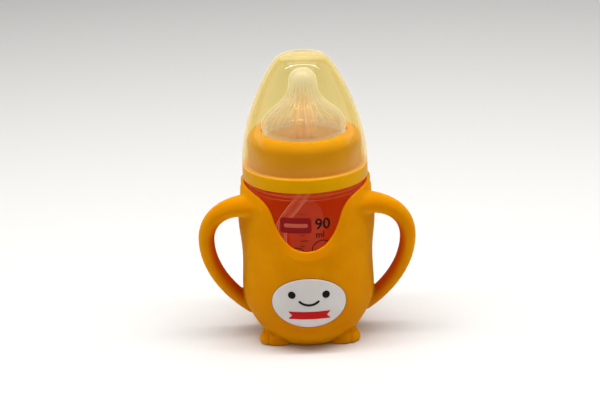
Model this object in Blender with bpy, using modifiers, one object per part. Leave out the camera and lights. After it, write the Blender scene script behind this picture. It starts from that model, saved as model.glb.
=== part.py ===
"""A glass baby bottle in a soft sleeve with two handles, a straw teat and a dust cap.

Metres, +Z up. The origin is on the bottle's axis at table height, and the front looks towards -Y.
"""

import math

import bmesh
import bpy
from mathutils import Matrix, Vector
from mathutils.geometry import interpolate_bezier

MM = 0.001
GAP = 0.3 * MM
SEGMENTS = 36
SMALL_SEGMENTS = 18
EGG_STEPS = 6
OVERSHOOT = 6 * MM  # how far a cutter reaches past what it cuts

# Sleeve: an egg-bottomed tube, open at the top.
BELLY_RADIUS = 33.5 * MM
BELLY_HEIGHT = 27 * MM
WAIST_RADIUS = 33.0 * MM
WAIST_HEIGHT = 42 * MM
SLEEVE_TOP = 84.0 * MM
EGG_DROP = 13.2 * MM
EGG_POWER = 1.85
EGG_LOWEST = 2.4 * MM
FOOTPRINT_RADIUS = 17.0 * MM

# Glass bottle.
BOTTLE_RADIUS = 30.2 * MM
BOTTLE_BOTTOM = 4.3 * MM
BOTTLE_EGG_DROP = 12.2 * MM
GLASS_WALL = 2.2 * MM
SHOULDER_START = 74.0 * MM
SHOULDER_CURVE = 5.0 * MM
BEAD_RADIUS = 29.0 * MM
BEAD_GROOVE = 0.7 * MM
BEAD_LOW = 80.0 * MM
BEAD_HIGH = 82.2 * MM
NECK_RADIUS = 25.0 * MM
NECK_BORE = 22.6 * MM
RIM_HEIGHT = 103.0 * MM

# Thread between bottle and collar: one start, the collar's ridge half a pitch below the bottle's.
PITCH = 4.0 * MM
THREAD_TURNS = 1.25
THREAD_START = 93.6 * MM
RIDGE_ROOT_WIDTH = 1.6 * MM
RIDGE_CREST_WIDTH = 0.8 * MM
RIDGE_HEIGHT = 1.5 * MM
RIDGE_EMBED = 0.6 * MM

# Collar.
COLLAR_BOTTOM = 84.8 * MM
LEDGE_HEIGHT = 91.6 * MM
BAND_RADIUS = 31.4 * MM
BAND_BORE = 29.6 * MM
UPPER_RADIUS = 28.5 * MM
THREAD_BORE = NECK_RADIUS + RIDGE_HEIGHT + 0.4 * MM
COLLAR_TOP = 108.4 * MM
COLLAR_HOLE = 21.2 * MM
SHOULDER_ROUND = 5.0 * MM
COLLAR_ROOF = 1.7 * MM

# Teat, straw connector and dust cap.
CLAMP_RADIUS = 24.4 * MM
CONNECTOR_LOW = RIM_HEIGHT + GAP
CONNECTOR_DISC = 1.1 * MM
FLANGE_LOW = CONNECTOR_LOW + CONNECTOR_DISC + GAP
FLANGE_HIGH = COLLAR_TOP - COLLAR_ROOF - GAP
TEAT_WALL = 1.7 * MM
TEAT_THROAT = 20.7 * MM
TEAT_BULGE = 21.3 * MM
TEAT_STEM = 7.0 * MM
TEAT_STEM_TOP = 133.5 * MM
TEAT_TIP = 139.9 * MM
TEAT_HOLE = 0.5 * MM
COLUMN_RADIUS = 6.2 * MM
COLUMN_TOP = 120.6 * MM
STUB_RADIUS = 3.0 * MM
STUB_TOP = 126.3 * MM
CONNECTOR_WALL = 1.2 * MM
VENT_RADIUS = 1.0 * MM
VENT_PLACE = 14.0 * MM
CAP_RADIUS = 31.5 * MM
CAP_FLAT_RADIUS = 7.9 * MM
CAP_SHOULDER_RADIUS = 16.8 * MM
CAP_SHOULDER_HEIGHT = 140.0 * MM
CAP_TOP = 147.2 * MM
CAP_WALL = 1.3 * MM
CAP_DISH = 0.3 * MM

# Straw: hose bore slips over the connector's nipple and over the weight's barb.
HOSE_RADIUS = 2.5 * MM
HOSE_BORE = 1.5 * MM
NIPPLE_RADIUS = 1.2 * MM
NIPPLE_BORE = 0.7 * MM
NIPPLE_LOW = 100.0 * MM
HOSE_TOP = 118.6 * MM
BEND_TOP = 78.0 * MM
BEND_LOW = 58.0 * MM
WEIGHT_AXIS = Vector((-13.0 * MM, -6.0 * MM, 0.0))
WEIGHT_RADIUS = 5.6 * MM
WEIGHT_WALL = 1.0 * MM
WEIGHT_BOTTOM = 9.6 * MM
WEIGHT_SPLIT = 16.8 * MM
WEIGHT_TOP = 23.0 * MM
BARB_LENGTH = 4.0 * MM
CORE_RADIUS = 3.7 * MM
CORE_BORE = 1.2 * MM
CORE_LOW = 13.9 * MM
CORE_TOP = 18.4 * MM

# Handles and feet.
HANDLE_RADIUS = 4.0 * MM
HANDLE_DEPTH = 5.6 * MM
HANDLE_ROOT_SWELL = 0.45
HANDLE_START = Vector((20.0 * MM, 73.0 * MM))
HANDLE_UPPER = Vector((29.0 * MM, 73.0 * MM))
HANDLE_OUTERMOST = Vector((50.8 * MM, 52.5 * MM))
HANDLE_LOWER = Vector((29.0 * MM, 13.9 * MM))
FLARE_START = 46.0 * MM
FLARE_LENGTH = 21.0 * MM
FLARE_DEPTH = 5.2 * MM
HANDLE_LEAN = 0.24
HANDLE_LEAN_FOOT = 27.5 * MM
FOOT_LENGTH = 12.5 * MM
FOOT_WIDTH = 8.3 * MM
FOOT_HEIGHT = 6.9 * MM
FOOT_CENTRE = Vector((13.5 * MM, -11.1 * MM, 0.0))
FOOT_TURN = math.radians(-20)
FOOT_ROUND = 3.6 * MM

# Badge and its inlays; depths are offsets from the sleeve's outer surface.
BADGE_HEIGHT = 27.7 * MM
BADGE_HALF_WIDTH = 18.5 * MM
BADGE_HALF_HEIGHT = 13.6 * MM
BADGE_FACE = 0.3 * MM
BADGE_BACK = -1.3 * MM
INLAY_FACE = 0.45 * MM
INLAY_BACK = -0.3 * MM
EYE_SPACING = 8.5 * MM
EYE_HEIGHT = 32.6 * MM
EYE_RADIUS = 1.9 * MM
SMILE_RADIUS = 7.0 * MM
SMILE_LOWEST = 27.4 * MM
SMILE_HALF_WIDTH = 0.6 * MM
SMILE_SPREAD = math.radians(42)
RIBBON_HEIGHT = 21.6 * MM
RIBBON_HALF_LENGTH = 10.7 * MM
RIBBON_HALF_WIDTH = 2.2 * MM
RIBBON_NOTCH = 2.0 * MM

# Window: half of its outline, from its lowest point up past the sleeve's top.
WINDOW_LOWEST = Vector((0.0, 55.8 * MM))
WINDOW_SIDE = Vector((15.4 * MM, 69.0 * MM))
WINDOW_TOP = Vector((34.5 * MM, 84.2 * MM))

FRONT = -50 * MM


def clear_scene():
    for obj in list(bpy.data.objects):
        bpy.data.objects.remove(obj)


def new_collection(name):
    collection = bpy.data.collections.new(name)
    bpy.context.scene.collection.children.link(collection)
    return collection


def new_object(name, mesh, collection):
    obj = bpy.data.objects.new(name, mesh)
    collection.objects.link(obj)
    if collection.name == "cutters":
        obj.hide_render = True
        obj.display_type = "WIRE"
    return obj


def material(name, colour, roughness, metallic=0.0):
    made = bpy.data.materials.new(name)
    made.use_nodes = True
    shader = made.node_tree.nodes["Principled BSDF"]
    shader.inputs["Base Color"].default_value = (*colour, 1.0)
    shader.inputs["Roughness"].default_value = roughness
    shader.inputs["Metallic"].default_value = metallic
    return made


def turned(name, profile, collection, segments=SEGMENTS):
    """A solid turned about Z from (radius, height) points that run down the outer side."""
    shape = bmesh.new()
    points = [shape.verts.new((radius, 0.0, height)) for radius, height in profile]
    for first, second in zip(points, points[1:]):
        shape.edges.new((first, second))
    if profile[0][0] > 0:
        shape.edges.new((points[-1], points[0]))
    mesh = bpy.data.meshes.new(name)
    shape.to_mesh(mesh)
    shape.free()
    obj = new_object(name, mesh, collection)
    screw = obj.modifiers.new("turn", "SCREW")
    screw.steps = screw.render_steps = segments
    screw.use_merge_vertices = True
    screw.merge_threshold = 0.01 * MM
    return obj


def combine(obj, tool, operation):
    boolean = obj.modifiers.new(f"{operation.lower()} {tool.name}", "BOOLEAN")
    boolean.operation = operation
    boolean.object = tool


def curve_to_mesh(obj, collection):
    """Replaces a curve object with a mesh object of the same name and place, its caps welded."""
    depsgraph = bpy.context.evaluated_depsgraph_get()
    mesh = bpy.data.meshes.new_from_object(obj.evaluated_get(depsgraph))
    shape = bmesh.new()
    shape.from_mesh(mesh)
    bmesh.ops.remove_doubles(shape, verts=shape.verts, dist=0.005 * MM)
    bmesh.ops.recalc_face_normals(shape, faces=shape.faces)
    shape.to_mesh(mesh)
    shape.free()
    name = obj.name
    place = obj.matrix_world.copy()
    bpy.data.objects.remove(obj)
    solid = new_object(name, mesh, collection)
    solid.matrix_world = place
    return solid


def prism(name, outline, collection):
    """An outline of (x, z) points drawn out along Y, from well in front of the sleeve to its axis."""
    curve = bpy.data.curves.new(name, "CURVE")
    curve.dimensions = "2D"
    curve.fill_mode = "BOTH"
    curve.extrude = -FRONT / 2
    spline = curve.splines.new("POLY")
    spline.points.add(len(outline) - 1)
    for point, (x, z) in zip(spline.points, outline):
        point.co = (x, z, 0.0, 1.0)
    spline.use_cyclic_u = True
    obj = new_object(name, curve, collection)
    obj.matrix_world = Matrix.Translation((0.0, FRONT / 2, 0.0)) @ Matrix.Rotation(math.pi / 2, 4, "X")
    bpy.context.view_layer.update()
    return curve_to_mesh(obj, collection)


def tube(name, path, radius, collection, swelling=None):
    """A round bar along a path of points; swelling multiplies its radius at each point."""
    curve = bpy.data.curves.new(name, "CURVE")
    curve.dimensions = "3D"
    curve.bevel_depth = radius
    curve.bevel_resolution = 2
    curve.use_fill_caps = True
    spline = curve.splines.new("POLY")
    spline.points.add(len(path) - 1)
    for point, place, factor in zip(spline.points, path, swelling or [1.0] * len(path)):
        point.co = (*place, 1.0)
        point.radius = factor
    return curve_to_mesh(new_object(name, curve, collection), collection)


def arc(centre, radius, start, end, count):
    """Points on a circle in the plane of a profile, from one angle to another, in degrees."""
    angles = [math.radians(start + (end - start) * step / count) for step in range(count + 1)]
    return [(centre[0] + radius * math.cos(a), centre[1] + radius * math.sin(a)) for a in angles]


def bezier(first, first_handle, second_handle, second, count):
    points = interpolate_bezier(first, first_handle, second_handle, second, count)
    return [(point[0], point[1]) for point in points]


def egg_profile(belly, drop, lowest, count):
    """Radius and height down an egg-shaped bottom that starts at the belly."""
    span = BELLY_HEIGHT - lowest
    heights = [BELLY_HEIGHT - span * step / count for step in range(count + 1)]
    return [(belly - drop * ((BELLY_HEIGHT - z) / span) ** EGG_POWER, z) for z in heights]


def sleeve_profile(offset):
    """The sleeve's outer surface moved outwards by offset, as a solid without its bore."""
    full_drop = EGG_DROP * ((BELLY_HEIGHT - EGG_LOWEST) / BELLY_HEIGHT) ** EGG_POWER
    sides = [(0.0, SLEEVE_TOP), (WAIST_RADIUS + offset, SLEEVE_TOP), (WAIST_RADIUS + offset, WAIST_HEIGHT)]
    egg = egg_profile(BELLY_RADIUS + offset, full_drop, EGG_LOWEST, EGG_STEPS)
    bottom = [(FOOTPRINT_RADIUS + offset, 0.0), (0.0, 0.0)]
    return sides + egg + bottom


def handle_path(side):
    """The middle line of a loop handle, from inside the bore over the upper root to the lower wall."""
    outwards = Vector((15 * MM, 0.0))
    upwards = Vector((0.3 * MM, 11 * MM))
    downwards = Vector((-0.2 * MM, -14.5 * MM))
    from_below = Vector((13 * MM, 10 * MM))
    outermost = HANDLE_OUTERMOST
    upper_half = bezier(HANDLE_UPPER, HANDLE_UPPER + outwards, outermost + upwards, outermost, 6)
    lower_half = bezier(outermost, outermost + downwards, HANDLE_LOWER + from_below, HANDLE_LOWER, 6)
    return [(side * x, 0.0, z) for x, z in [HANDLE_START] + upper_half + lower_half[1:]]


def handle(name, side, collection):
    """A loop handle that swells and deepens towards its upper root."""
    path = handle_path(side)
    outermost_step = len(path) // 2
    nearness = [min(1.0, max(0.0, 1 - (step - 1) / (outermost_step - 1))) for step in range(len(path))]
    swelling = [1 + HANDLE_ROOT_SWELL * near**2 for near in nearness]
    obj = tube(name, path, HANDLE_RADIUS, collection, swelling)
    for vertex in obj.data.vertices:
        shape_handle(vertex.co)
    return obj


def shape_handle(point):
    """Gives the handle its oval section, deeper at the upper root, and leans it forwards as it rises."""
    upper = point.z > HANDLE_OUTERMOST.y
    share = max(0.0, FLARE_START - abs(point.x)) / FLARE_LENGTH if upper else 0.0
    depth = HANDLE_DEPTH + FLARE_DEPTH * min(share, 1.2) ** 1.5
    across = point.y / HANDLE_RADIUS
    point.y = across * depth / (1 + HANDLE_ROOT_SWELL * min(share, 1.0))
    point.y -= HANDLE_LEAN * (point.z - HANDLE_LEAN_FOOT)


def foot(name, side, collection):
    """A pebble-shaped foot that reaches below the table plane, where it is trimmed."""
    bpy.ops.mesh.primitive_cylinder_add(vertices=28, radius=1.0, depth=1.0)
    obj = bpy.context.object
    obj.name = name
    move_to(obj, collection)
    depth = FOOT_HEIGHT + OVERSHOOT
    obj.data.transform(Matrix.Diagonal((FOOT_LENGTH, FOOT_WIDTH, depth, 1.0)))
    middle = (FOOT_HEIGHT - OVERSHOOT) / 2
    obj.location = (side * FOOT_CENTRE.x, FOOT_CENTRE.y, middle)
    obj.rotation_euler.z = side * FOOT_TURN
    bevel = obj.modifiers.new("round", "BEVEL")
    bevel.width = FOOT_ROUND
    bevel.segments = 3
    bevel.limit_method = "ANGLE"
    return obj


def move_to(obj, collection):
    for holder in list(obj.users_collection):
        holder.objects.unlink(obj)
    collection.objects.link(obj)
    if collection.name == "cutters":
        obj.hide_render = True
        obj.display_type = "WIRE"


def box(name, size, location, collection):
    bpy.ops.mesh.primitive_cube_add(size=1.0, location=location)
    obj = bpy.context.object
    obj.name = name
    obj.data.transform(Matrix.Diagonal((*size, 1.0)))
    move_to(obj, collection)
    return obj


def window_outline():
    right = bezier(
        WINDOW_LOWEST,
        WINDOW_LOWEST + Vector((9.5 * MM, 0.0)),
        WINDOW_SIDE - Vector((2.2 * MM, 5.5 * MM)),
        WINDOW_SIDE,
        8,
    )
    right += bezier(
        WINDOW_SIDE,
        WINDOW_SIDE + Vector((2.6 * MM, 10.0 * MM)),
        WINDOW_TOP - Vector((13.0 * MM, 2.2 * MM)),
        WINDOW_TOP,
        6,
    )[1:]
    left = [(-x, z) for x, z in reversed(right[1:])]
    return right + left


def bore_profile():
    """The sleeve's bore: the bottle's shape with a gap, straight up so that the bottle lifts out."""
    radius = BOTTLE_RADIUS + GAP
    floor = BOTTLE_BOTTOM - GAP
    above_top = SLEEVE_TOP + OVERSHOOT
    egg = egg_profile(radius, BOTTLE_EGG_DROP, floor, EGG_STEPS)
    return [(0.0, above_top), (radius, above_top)] + egg + [(0.0, floor)]


def front_patch(name, outline, face, back, parts, cutters):
    """A patch that follows the sleeve's front, between two offsets from its outer surface."""
    patch = prism(name, outline, parts)
    combine(patch, turned(f"{name}_face_limit", sleeve_profile(face), cutters), "INTERSECT")
    combine(patch, turned(f"{name}_back_limit", sleeve_profile(back), cutters), "DIFFERENCE")
    return patch


def pocket(name, outline, floor, cutters):
    """A cutter for a pocket that a front patch sits in."""
    cutter = prism(name, outline, cutters)
    combine(cutter, turned(f"{name}_floor", sleeve_profile(floor), cutters), "DIFFERENCE")
    return cutter


def ellipse(centre, half_width, half_height, count):
    angles = [2 * math.pi * step / count for step in range(count)]
    return [(centre[0] + half_width * math.cos(a), centre[1] + half_height * math.sin(a)) for a in angles]


def badge_outline(grow):
    return ellipse((0.0, BADGE_HEIGHT), BADGE_HALF_WIDTH + grow, BADGE_HALF_HEIGHT + grow, 36)


def eye_outline(side, grow):
    return ellipse((side * EYE_SPACING, EYE_HEIGHT), EYE_RADIUS + grow, EYE_RADIUS + grow, 16)


def smile_outline(grow):
    """A short arc of even width with round ends."""
    centre = (0.0, SMILE_LOWEST + SMILE_RADIUS)
    half = SMILE_HALF_WIDTH + grow
    spread = math.degrees(SMILE_SPREAD)
    outer = arc(centre, SMILE_RADIUS + half, -90 - spread, -90 + spread, 8)
    inner = arc(centre, SMILE_RADIUS - half, -90 + spread, -90 - spread, 8)
    ends = []
    for side in (1, -1):
        angle = -math.pi / 2 + side * SMILE_SPREAD
        end = (SMILE_RADIUS * math.cos(angle), centre[1] + SMILE_RADIUS * math.sin(angle))
        start = math.degrees(angle) + (0 if side > 0 else 180)
        ends.append(arc(end, half, start, start + 180, 4)[1:-1])
    return outer + ends[0] + inner + ends[1]


def ribbon_outline(grow):
    """A level banner with a notch in each end."""
    length = RIBBON_HALF_LENGTH + grow
    width = RIBBON_HALF_WIDTH + grow
    notch = RIBBON_HALF_LENGTH - RIBBON_NOTCH + grow
    right = [(length, -width), (notch, 0.0), (length, width)]
    left = [(-x, z) for x, z in reversed(right)]
    return [(x, RIBBON_HEIGHT + z) for x, z in right + left]


INLAYS = {
    "badge_eye_left": lambda grow: eye_outline(-1, grow),
    "badge_eye_right": lambda grow: eye_outline(1, grow),
    "badge_smile": smile_outline,
    "badge_ribbon": ribbon_outline,
}


def make_sleeve(parts, cutters):
    sleeve = turned("sleeve", sleeve_profile(0.0), parts)
    for word, side in (("left", -1), ("right", 1)):
        combine(sleeve, handle(f"handle_{word}", side, cutters), "UNION")
        combine(sleeve, foot(f"foot_{word}", side, cutters), "UNION")
    below = box("below_table", (0.2, 0.2, 2 * OVERSHOOT), (0.0, 0.0, -OVERSHOOT), cutters)
    combine(sleeve, below, "DIFFERENCE")
    combine(sleeve, turned("sleeve_bore", bore_profile(), cutters), "DIFFERENCE")
    combine(sleeve, prism("window", window_outline(), cutters), "DIFFERENCE")
    badge_seat = pocket("badge_seat", badge_outline(GAP), BADGE_BACK - GAP, cutters)
    combine(sleeve, badge_seat, "DIFFERENCE")
    return sleeve


def make_badge(parts, cutters):
    """The oval badge and its inlays, each in a pocket of its own."""
    badge = front_patch("face_badge", badge_outline(0.0), BADGE_FACE, BADGE_BACK, parts, cutters)
    inlays = []
    for name, outline in INLAYS.items():
        seat = pocket(f"{name}_seat", outline(GAP), INLAY_BACK - GAP, cutters)
        combine(badge, seat, "DIFFERENCE")
        inlays.append(front_patch(name, outline(0.0), INLAY_FACE, INLAY_BACK, parts, cutters))
    return [badge] + inlays


def thread_ridge(name, wall_radius, height, start, cutters):
    """A helical ridge on a wall: a positive height stands outwards, a negative one inwards."""
    outwards = math.copysign(1.0, height)
    root = wall_radius - outwards * RIDGE_EMBED
    crest = wall_radius + height
    section = [(root, -RIDGE_ROOT_WIDTH / 2), (crest, -RIDGE_CREST_WIDTH / 2)]
    section += [(crest, RIDGE_CREST_WIDTH / 2), (root, RIDGE_ROOT_WIDTH / 2)]
    step_count = round(SEGMENTS * THREAD_TURNS)
    shape = bmesh.new()
    corners = [shape.verts.new((radius, 0.0, start + height_)) for radius, height_ in section]
    face = shape.faces.new(corners)
    bmesh.ops.spin(
        shape,
        geom=[face, *face.edges, *face.verts],
        cent=(0.0, 0.0, 0.0),
        axis=(0.0, 0.0, 1.0),
        dvec=(0.0, 0.0, PITCH * THREAD_TURNS / step_count),
        angle=2 * math.pi * THREAD_TURNS,
        steps=step_count,
        use_duplicate=False,
    )
    bmesh.ops.recalc_face_normals(shape, faces=shape.faces)
    mesh = bpy.data.meshes.new(name)
    shape.to_mesh(mesh)
    shape.free()
    return new_object(name, mesh, cutters)


def make_bottle(parts, cutters):
    inner_bottom = BOTTLE_BOTTOM + GLASS_WALL
    inner_egg = egg_profile(BOTTLE_RADIUS - GLASS_WALL, BOTTLE_EGG_DROP, inner_bottom, EGG_STEPS)
    outer_egg = egg_profile(BOTTLE_RADIUS, BOTTLE_EGG_DROP, BOTTLE_BOTTOM, EGG_STEPS)
    inner = [(0.0, inner_bottom)] + inner_egg[::-1]
    inner_shoulder = bezier(
        Vector((BOTTLE_RADIUS - GLASS_WALL, SHOULDER_START)),
        Vector((BOTTLE_RADIUS - GLASS_WALL, SHOULDER_START + SHOULDER_CURVE)),
        Vector((NECK_BORE, BEAD_HIGH - 4 * MM)),
        Vector((NECK_BORE, BEAD_HIGH + 1 * MM)),
        4,
    )
    rim = [(NECK_BORE, RIM_HEIGHT), (NECK_RADIUS, RIM_HEIGHT), (NECK_RADIUS, BEAD_HIGH + 0.8 * MM)]
    groove = BEAD_RADIUS - BEAD_GROOVE
    bead = [(BEAD_RADIUS, BEAD_HIGH), (BEAD_RADIUS, BEAD_LOW + 0.6 * MM), (groove - 0.2 * MM, BEAD_LOW)]
    outer_shoulder = bezier(
        Vector((groove, BEAD_LOW - 0.4 * MM)),
        Vector((BOTTLE_RADIUS - 0.4 * MM, BEAD_LOW - 2.0 * MM)),
        Vector((BOTTLE_RADIUS, SHOULDER_START + 3 * MM)),
        Vector((BOTTLE_RADIUS, SHOULDER_START)),
        4,
    )
    profile = inner + inner_shoulder + rim + bead + outer_shoulder + outer_egg + [(0.0, BOTTLE_BOTTOM)]
    bottle = turned("glass_bottle", profile, parts)
    combine(bottle, thread_ridge("bottle_thread", NECK_RADIUS, RIDGE_HEIGHT, THREAD_START, cutters), "UNION")
    return bottle


def make_collar(parts, cutters):
    corner = (UPPER_RADIUS - SHOULDER_ROUND, COLLAR_TOP - SHOULDER_ROUND)
    roof = [(COLLAR_HOLE, COLLAR_TOP)] + arc(corner, SHOULDER_ROUND, 90, 0, 5)
    ledge = [(UPPER_RADIUS, LEDGE_HEIGHT), (BAND_RADIUS, LEDGE_HEIGHT)]
    skirt = [(BAND_RADIUS, COLLAR_BOTTOM), (BAND_BORE, COLLAR_BOTTOM), (BAND_BORE, LEDGE_HEIGHT - 2.5 * MM)]
    inner_corner = (corner[0], COLLAR_TOP - COLLAR_ROOF - 3.4 * MM)
    ceiling = arc(inner_corner, THREAD_BORE - corner[0], 0, 90, 4)
    bore = [(THREAD_BORE, LEDGE_HEIGHT - 1.0 * MM)] + ceiling + [(COLLAR_HOLE, COLLAR_TOP - COLLAR_ROOF)]
    collar = turned("collar", roof + ledge + skirt + bore, parts)
    start = THREAD_START - PITCH / 2
    combine(collar, thread_ridge("collar_thread", THREAD_BORE, -RIDGE_HEIGHT, start, cutters), "UNION")
    return collar


def teat_side(offset, stem_top):
    """The teat's S-shaped flare from stem to throat, moved inwards by offset."""
    return bezier(
        Vector((TEAT_STEM - offset, stem_top)),
        Vector((TEAT_STEM - offset + 0.4 * MM, 119.5 * MM)),
        Vector((TEAT_BULGE - offset - 0.6 * MM, 121.0 * MM - offset / 2)),
        Vector((TEAT_BULGE - offset, COLLAR_TOP + 2.0 * MM)),
        9,
    )


def teat_tip(offset):
    """The rounded tip, from its hole to the top of the stem."""
    radius = TEAT_STEM - offset
    rise = TEAT_TIP - TEAT_STEM_TOP - offset
    angles = steps(90, 0, 4)
    dome = [(radius * math.cos(a), TEAT_STEM_TOP + rise * math.sin(a)) for a in angles]
    return [(TEAT_HOLE, dome[0][1])] + dome[1:]


def make_teat(parts):
    outer = teat_tip(0.0)[:-1] + teat_side(0.0, TEAT_STEM_TOP)
    throat = [(TEAT_THROAT, COLLAR_TOP + GAP), (TEAT_THROAT, FLANGE_HIGH)]
    flange = [(CLAMP_RADIUS, FLANGE_HIGH), (CLAMP_RADIUS, FLANGE_LOW), (TEAT_BULGE - TEAT_WALL, FLANGE_LOW)]
    inner = teat_side(TEAT_WALL, TEAT_STEM_TOP)[::-1] + teat_tip(TEAT_WALL)[:-1][::-1]
    return turned("teat", outer + throat + flange + inner, parts)


def make_connector(parts, cutters):
    disc_top = CONNECTOR_LOW + CONNECTOR_DISC
    column_bore = COLUMN_RADIUS - CONNECTOR_WALL
    column_roof = COLUMN_TOP - CONNECTOR_WALL
    profile = [
        (STUB_RADIUS, STUB_TOP),
        (STUB_RADIUS, COLUMN_TOP + CONNECTOR_WALL),
        (COLUMN_RADIUS, COLUMN_TOP),
        (COLUMN_RADIUS, disc_top),
        (CLAMP_RADIUS, disc_top),
        (CLAMP_RADIUS, CONNECTOR_LOW),
        (column_bore, CONNECTOR_LOW),
        (column_bore, column_roof),
        (NIPPLE_RADIUS, column_roof),
        (NIPPLE_RADIUS, NIPPLE_LOW),
        (NIPPLE_BORE, NIPPLE_LOW),
        (NIPPLE_BORE, STUB_TOP),
    ]
    connector = turned("straw_connector", profile, parts)
    above = disc_top + OVERSHOOT
    below = CONNECTOR_LOW - OVERSHOOT
    vent_profile = [(0.0, above), (VENT_RADIUS, above), (VENT_RADIUS, below), (0.0, below)]
    vent = turned("vent_hole", vent_profile, cutters, SMALL_SEGMENTS)
    vent.location = (VENT_PLACE, 0.0, 0.0)
    combine(connector, vent, "DIFFERENCE")
    return connector


def hose_path(top, low):
    """Straight down the axis, over in a smooth bend to the weight's own axis, and straight down."""
    count = 14
    points = [Vector((0.0, 0.0, top))]
    for step in range(count + 1):
        part = step / count
        sideways = part * part * (3 - 2 * part)
        points.append(WEIGHT_AXIS * sideways + Vector((0.0, 0.0, BEND_TOP + (BEND_LOW - BEND_TOP) * part)))
    points.append(WEIGHT_AXIS + Vector((0.0, 0.0, low)))
    return points


def make_straw(parts, cutters):
    hose_low = WEIGHT_TOP + GAP
    hose = tube("straw_tube", hose_path(HOSE_TOP, hose_low), HOSE_RADIUS, parts)
    bore = tube("hose_bore", hose_path(HOSE_TOP + 1 * MM, hose_low - 1 * MM), HOSE_BORE, cutters)
    combine(hose, bore, "DIFFERENCE")
    return hose


def make_weight(parts):
    """The straw's weight: two housing halves that meet at a small gap, around a steel ring."""
    bore = WEIGHT_RADIUS - WEIGHT_WALL
    dome = WEIGHT_TOP - WEIGHT_SPLIT
    inner_dome = dome - WEIGHT_WALL
    barb_top = WEIGHT_TOP + BARB_LENGTH
    upper = [(NIPPLE_RADIUS, barb_top), (NIPPLE_RADIUS, WEIGHT_TOP)]
    upper += [(WEIGHT_RADIUS * math.sin(a), WEIGHT_SPLIT + dome * math.cos(a)) for a in steps(25, 90, 4)]
    upper += [(bore * math.sin(a), WEIGHT_SPLIT + inner_dome * math.cos(a)) for a in steps(90, 20, 4)]
    upper += [(NIPPLE_BORE, WEIGHT_TOP - WEIGHT_WALL), (NIPPLE_BORE, barb_top)]

    low_edge = WEIGHT_SPLIT - GAP
    bowl = low_edge - WEIGHT_BOTTOM
    inner_bowl = bowl - WEIGHT_WALL
    lower = [(WEIGHT_RADIUS * math.sin(a), low_edge - bowl * math.cos(a)) for a in steps(90, 12, 4)]
    lower += [(bore * math.sin(a), low_edge - inner_bowl * math.cos(a)) for a in steps(14, 90, 4)]

    core = [(CORE_RADIUS, CORE_TOP), (CORE_RADIUS, CORE_LOW), (CORE_BORE, CORE_LOW), (CORE_BORE, CORE_TOP)]
    pieces = [
        turned("weight_shell_upper", upper, parts, SMALL_SEGMENTS),
        turned("weight_shell_lower", lower, parts, SMALL_SEGMENTS),
        turned("weight_core", core, parts, SMALL_SEGMENTS),
    ]
    for piece in pieces:
        piece.location = WEIGHT_AXIS
    return pieces


def steps(start, end, count):
    """Angles in radians, evenly from start to end in degrees."""
    return [math.radians(start + (end - start) * step / count) for step in range(count + 1)]


def cap_side(wall, rim):
    """The cap's outline from its flat top over the shoulder and down to its rim, moved inwards by wall."""
    top = Vector((CAP_FLAT_RADIUS, CAP_TOP - wall))
    shoulder = Vector((CAP_SHOULDER_RADIUS - 0.9 * wall, CAP_SHOULDER_HEIGHT - 0.5 * wall))
    slope = Vector((-0.6, 1.0))
    low = Vector((CAP_RADIUS - wall, rim))
    crown = bezier(top, top + Vector((4.3 * MM, -0.3 * MM)), shoulder + slope * (4 * MM), shoulder, 4)
    flank = bezier(shoulder, shoulder - slope * (15 * MM), low + Vector((-0.1 * MM, 15 * MM)), low, 7)
    return crown + flank[1:]


def make_cap(parts):
    rim = LEDGE_HEIGHT + GAP
    outer = cap_side(0.0, rim)
    inner = cap_side(CAP_WALL, rim)
    dish = [(0.0, CAP_TOP - CAP_DISH), (CAP_FLAT_RADIUS - 1.2 * MM, CAP_TOP - CAP_DISH)]
    return turned("dust_cap", dish + outer + inner[::-1] + [(0.0, CAP_TOP - CAP_WALL)], parts)


def hang(children, name, parent=None):
    """Groups pieces that move together under an empty on their joint's axis, the Z axis."""
    pivot = bpy.data.objects.new(name, None)
    bpy.context.scene.collection.objects.link(pivot)
    pivot.parent = parent
    for child in children:
        child.parent = pivot
    return pivot


def shade(obj):
    """Smooth shading with sharp edges kept, on the finished shape."""
    depsgraph = bpy.context.evaluated_depsgraph_get()
    mesh = bpy.data.meshes.new_from_object(obj.evaluated_get(depsgraph))
    obj.modifiers.clear()
    obj.data = mesh
    mesh.shade_smooth()
    mesh.set_sharp_from_angle(angle=math.radians(35))


def finish_materials(pieces):
    silicone = material("orange_silicone", (0.62, 0.24, 0.01), 0.55)
    plastic = material("orange_plastic", (0.60, 0.25, 0.01), 0.35)
    milky = material("milky_plastic", (0.82, 0.74, 0.40), 0.3)
    clear = material("clear_silicone", (0.85, 0.82, 0.75), 0.3)
    connector = material("clear_plastic", (0.88, 0.88, 0.86), 0.2)
    glass = material("clear_glass", (0.8, 0.85, 0.85), 0.05)
    steel = material("steel", (0.6, 0.6, 0.6), 0.25, 1.0)
    white = material("white_badge", (0.75, 0.73, 0.70), 0.5)
    black = material("black_inlay", (0.01, 0.01, 0.01), 0.4)
    red = material("red_inlay", (0.5, 0.0, 0.005), 0.4)
    chosen = {
        "sleeve": silicone,
        "collar": plastic,
        "dust_cap": milky,
        "teat": clear,
        "straw_tube": clear,
        "straw_connector": connector,
        "weight_shell_upper": connector,
        "weight_shell_lower": connector,
        "weight_core": steel,
        "glass_bottle": glass,
        "face_badge": white,
        "badge_eye_left": black,
        "badge_eye_right": black,
        "badge_smile": black,
        "badge_ribbon": red,
    }
    for piece in pieces:
        piece.data.materials.clear()
        piece.data.materials.append(chosen[piece.name])


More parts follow.
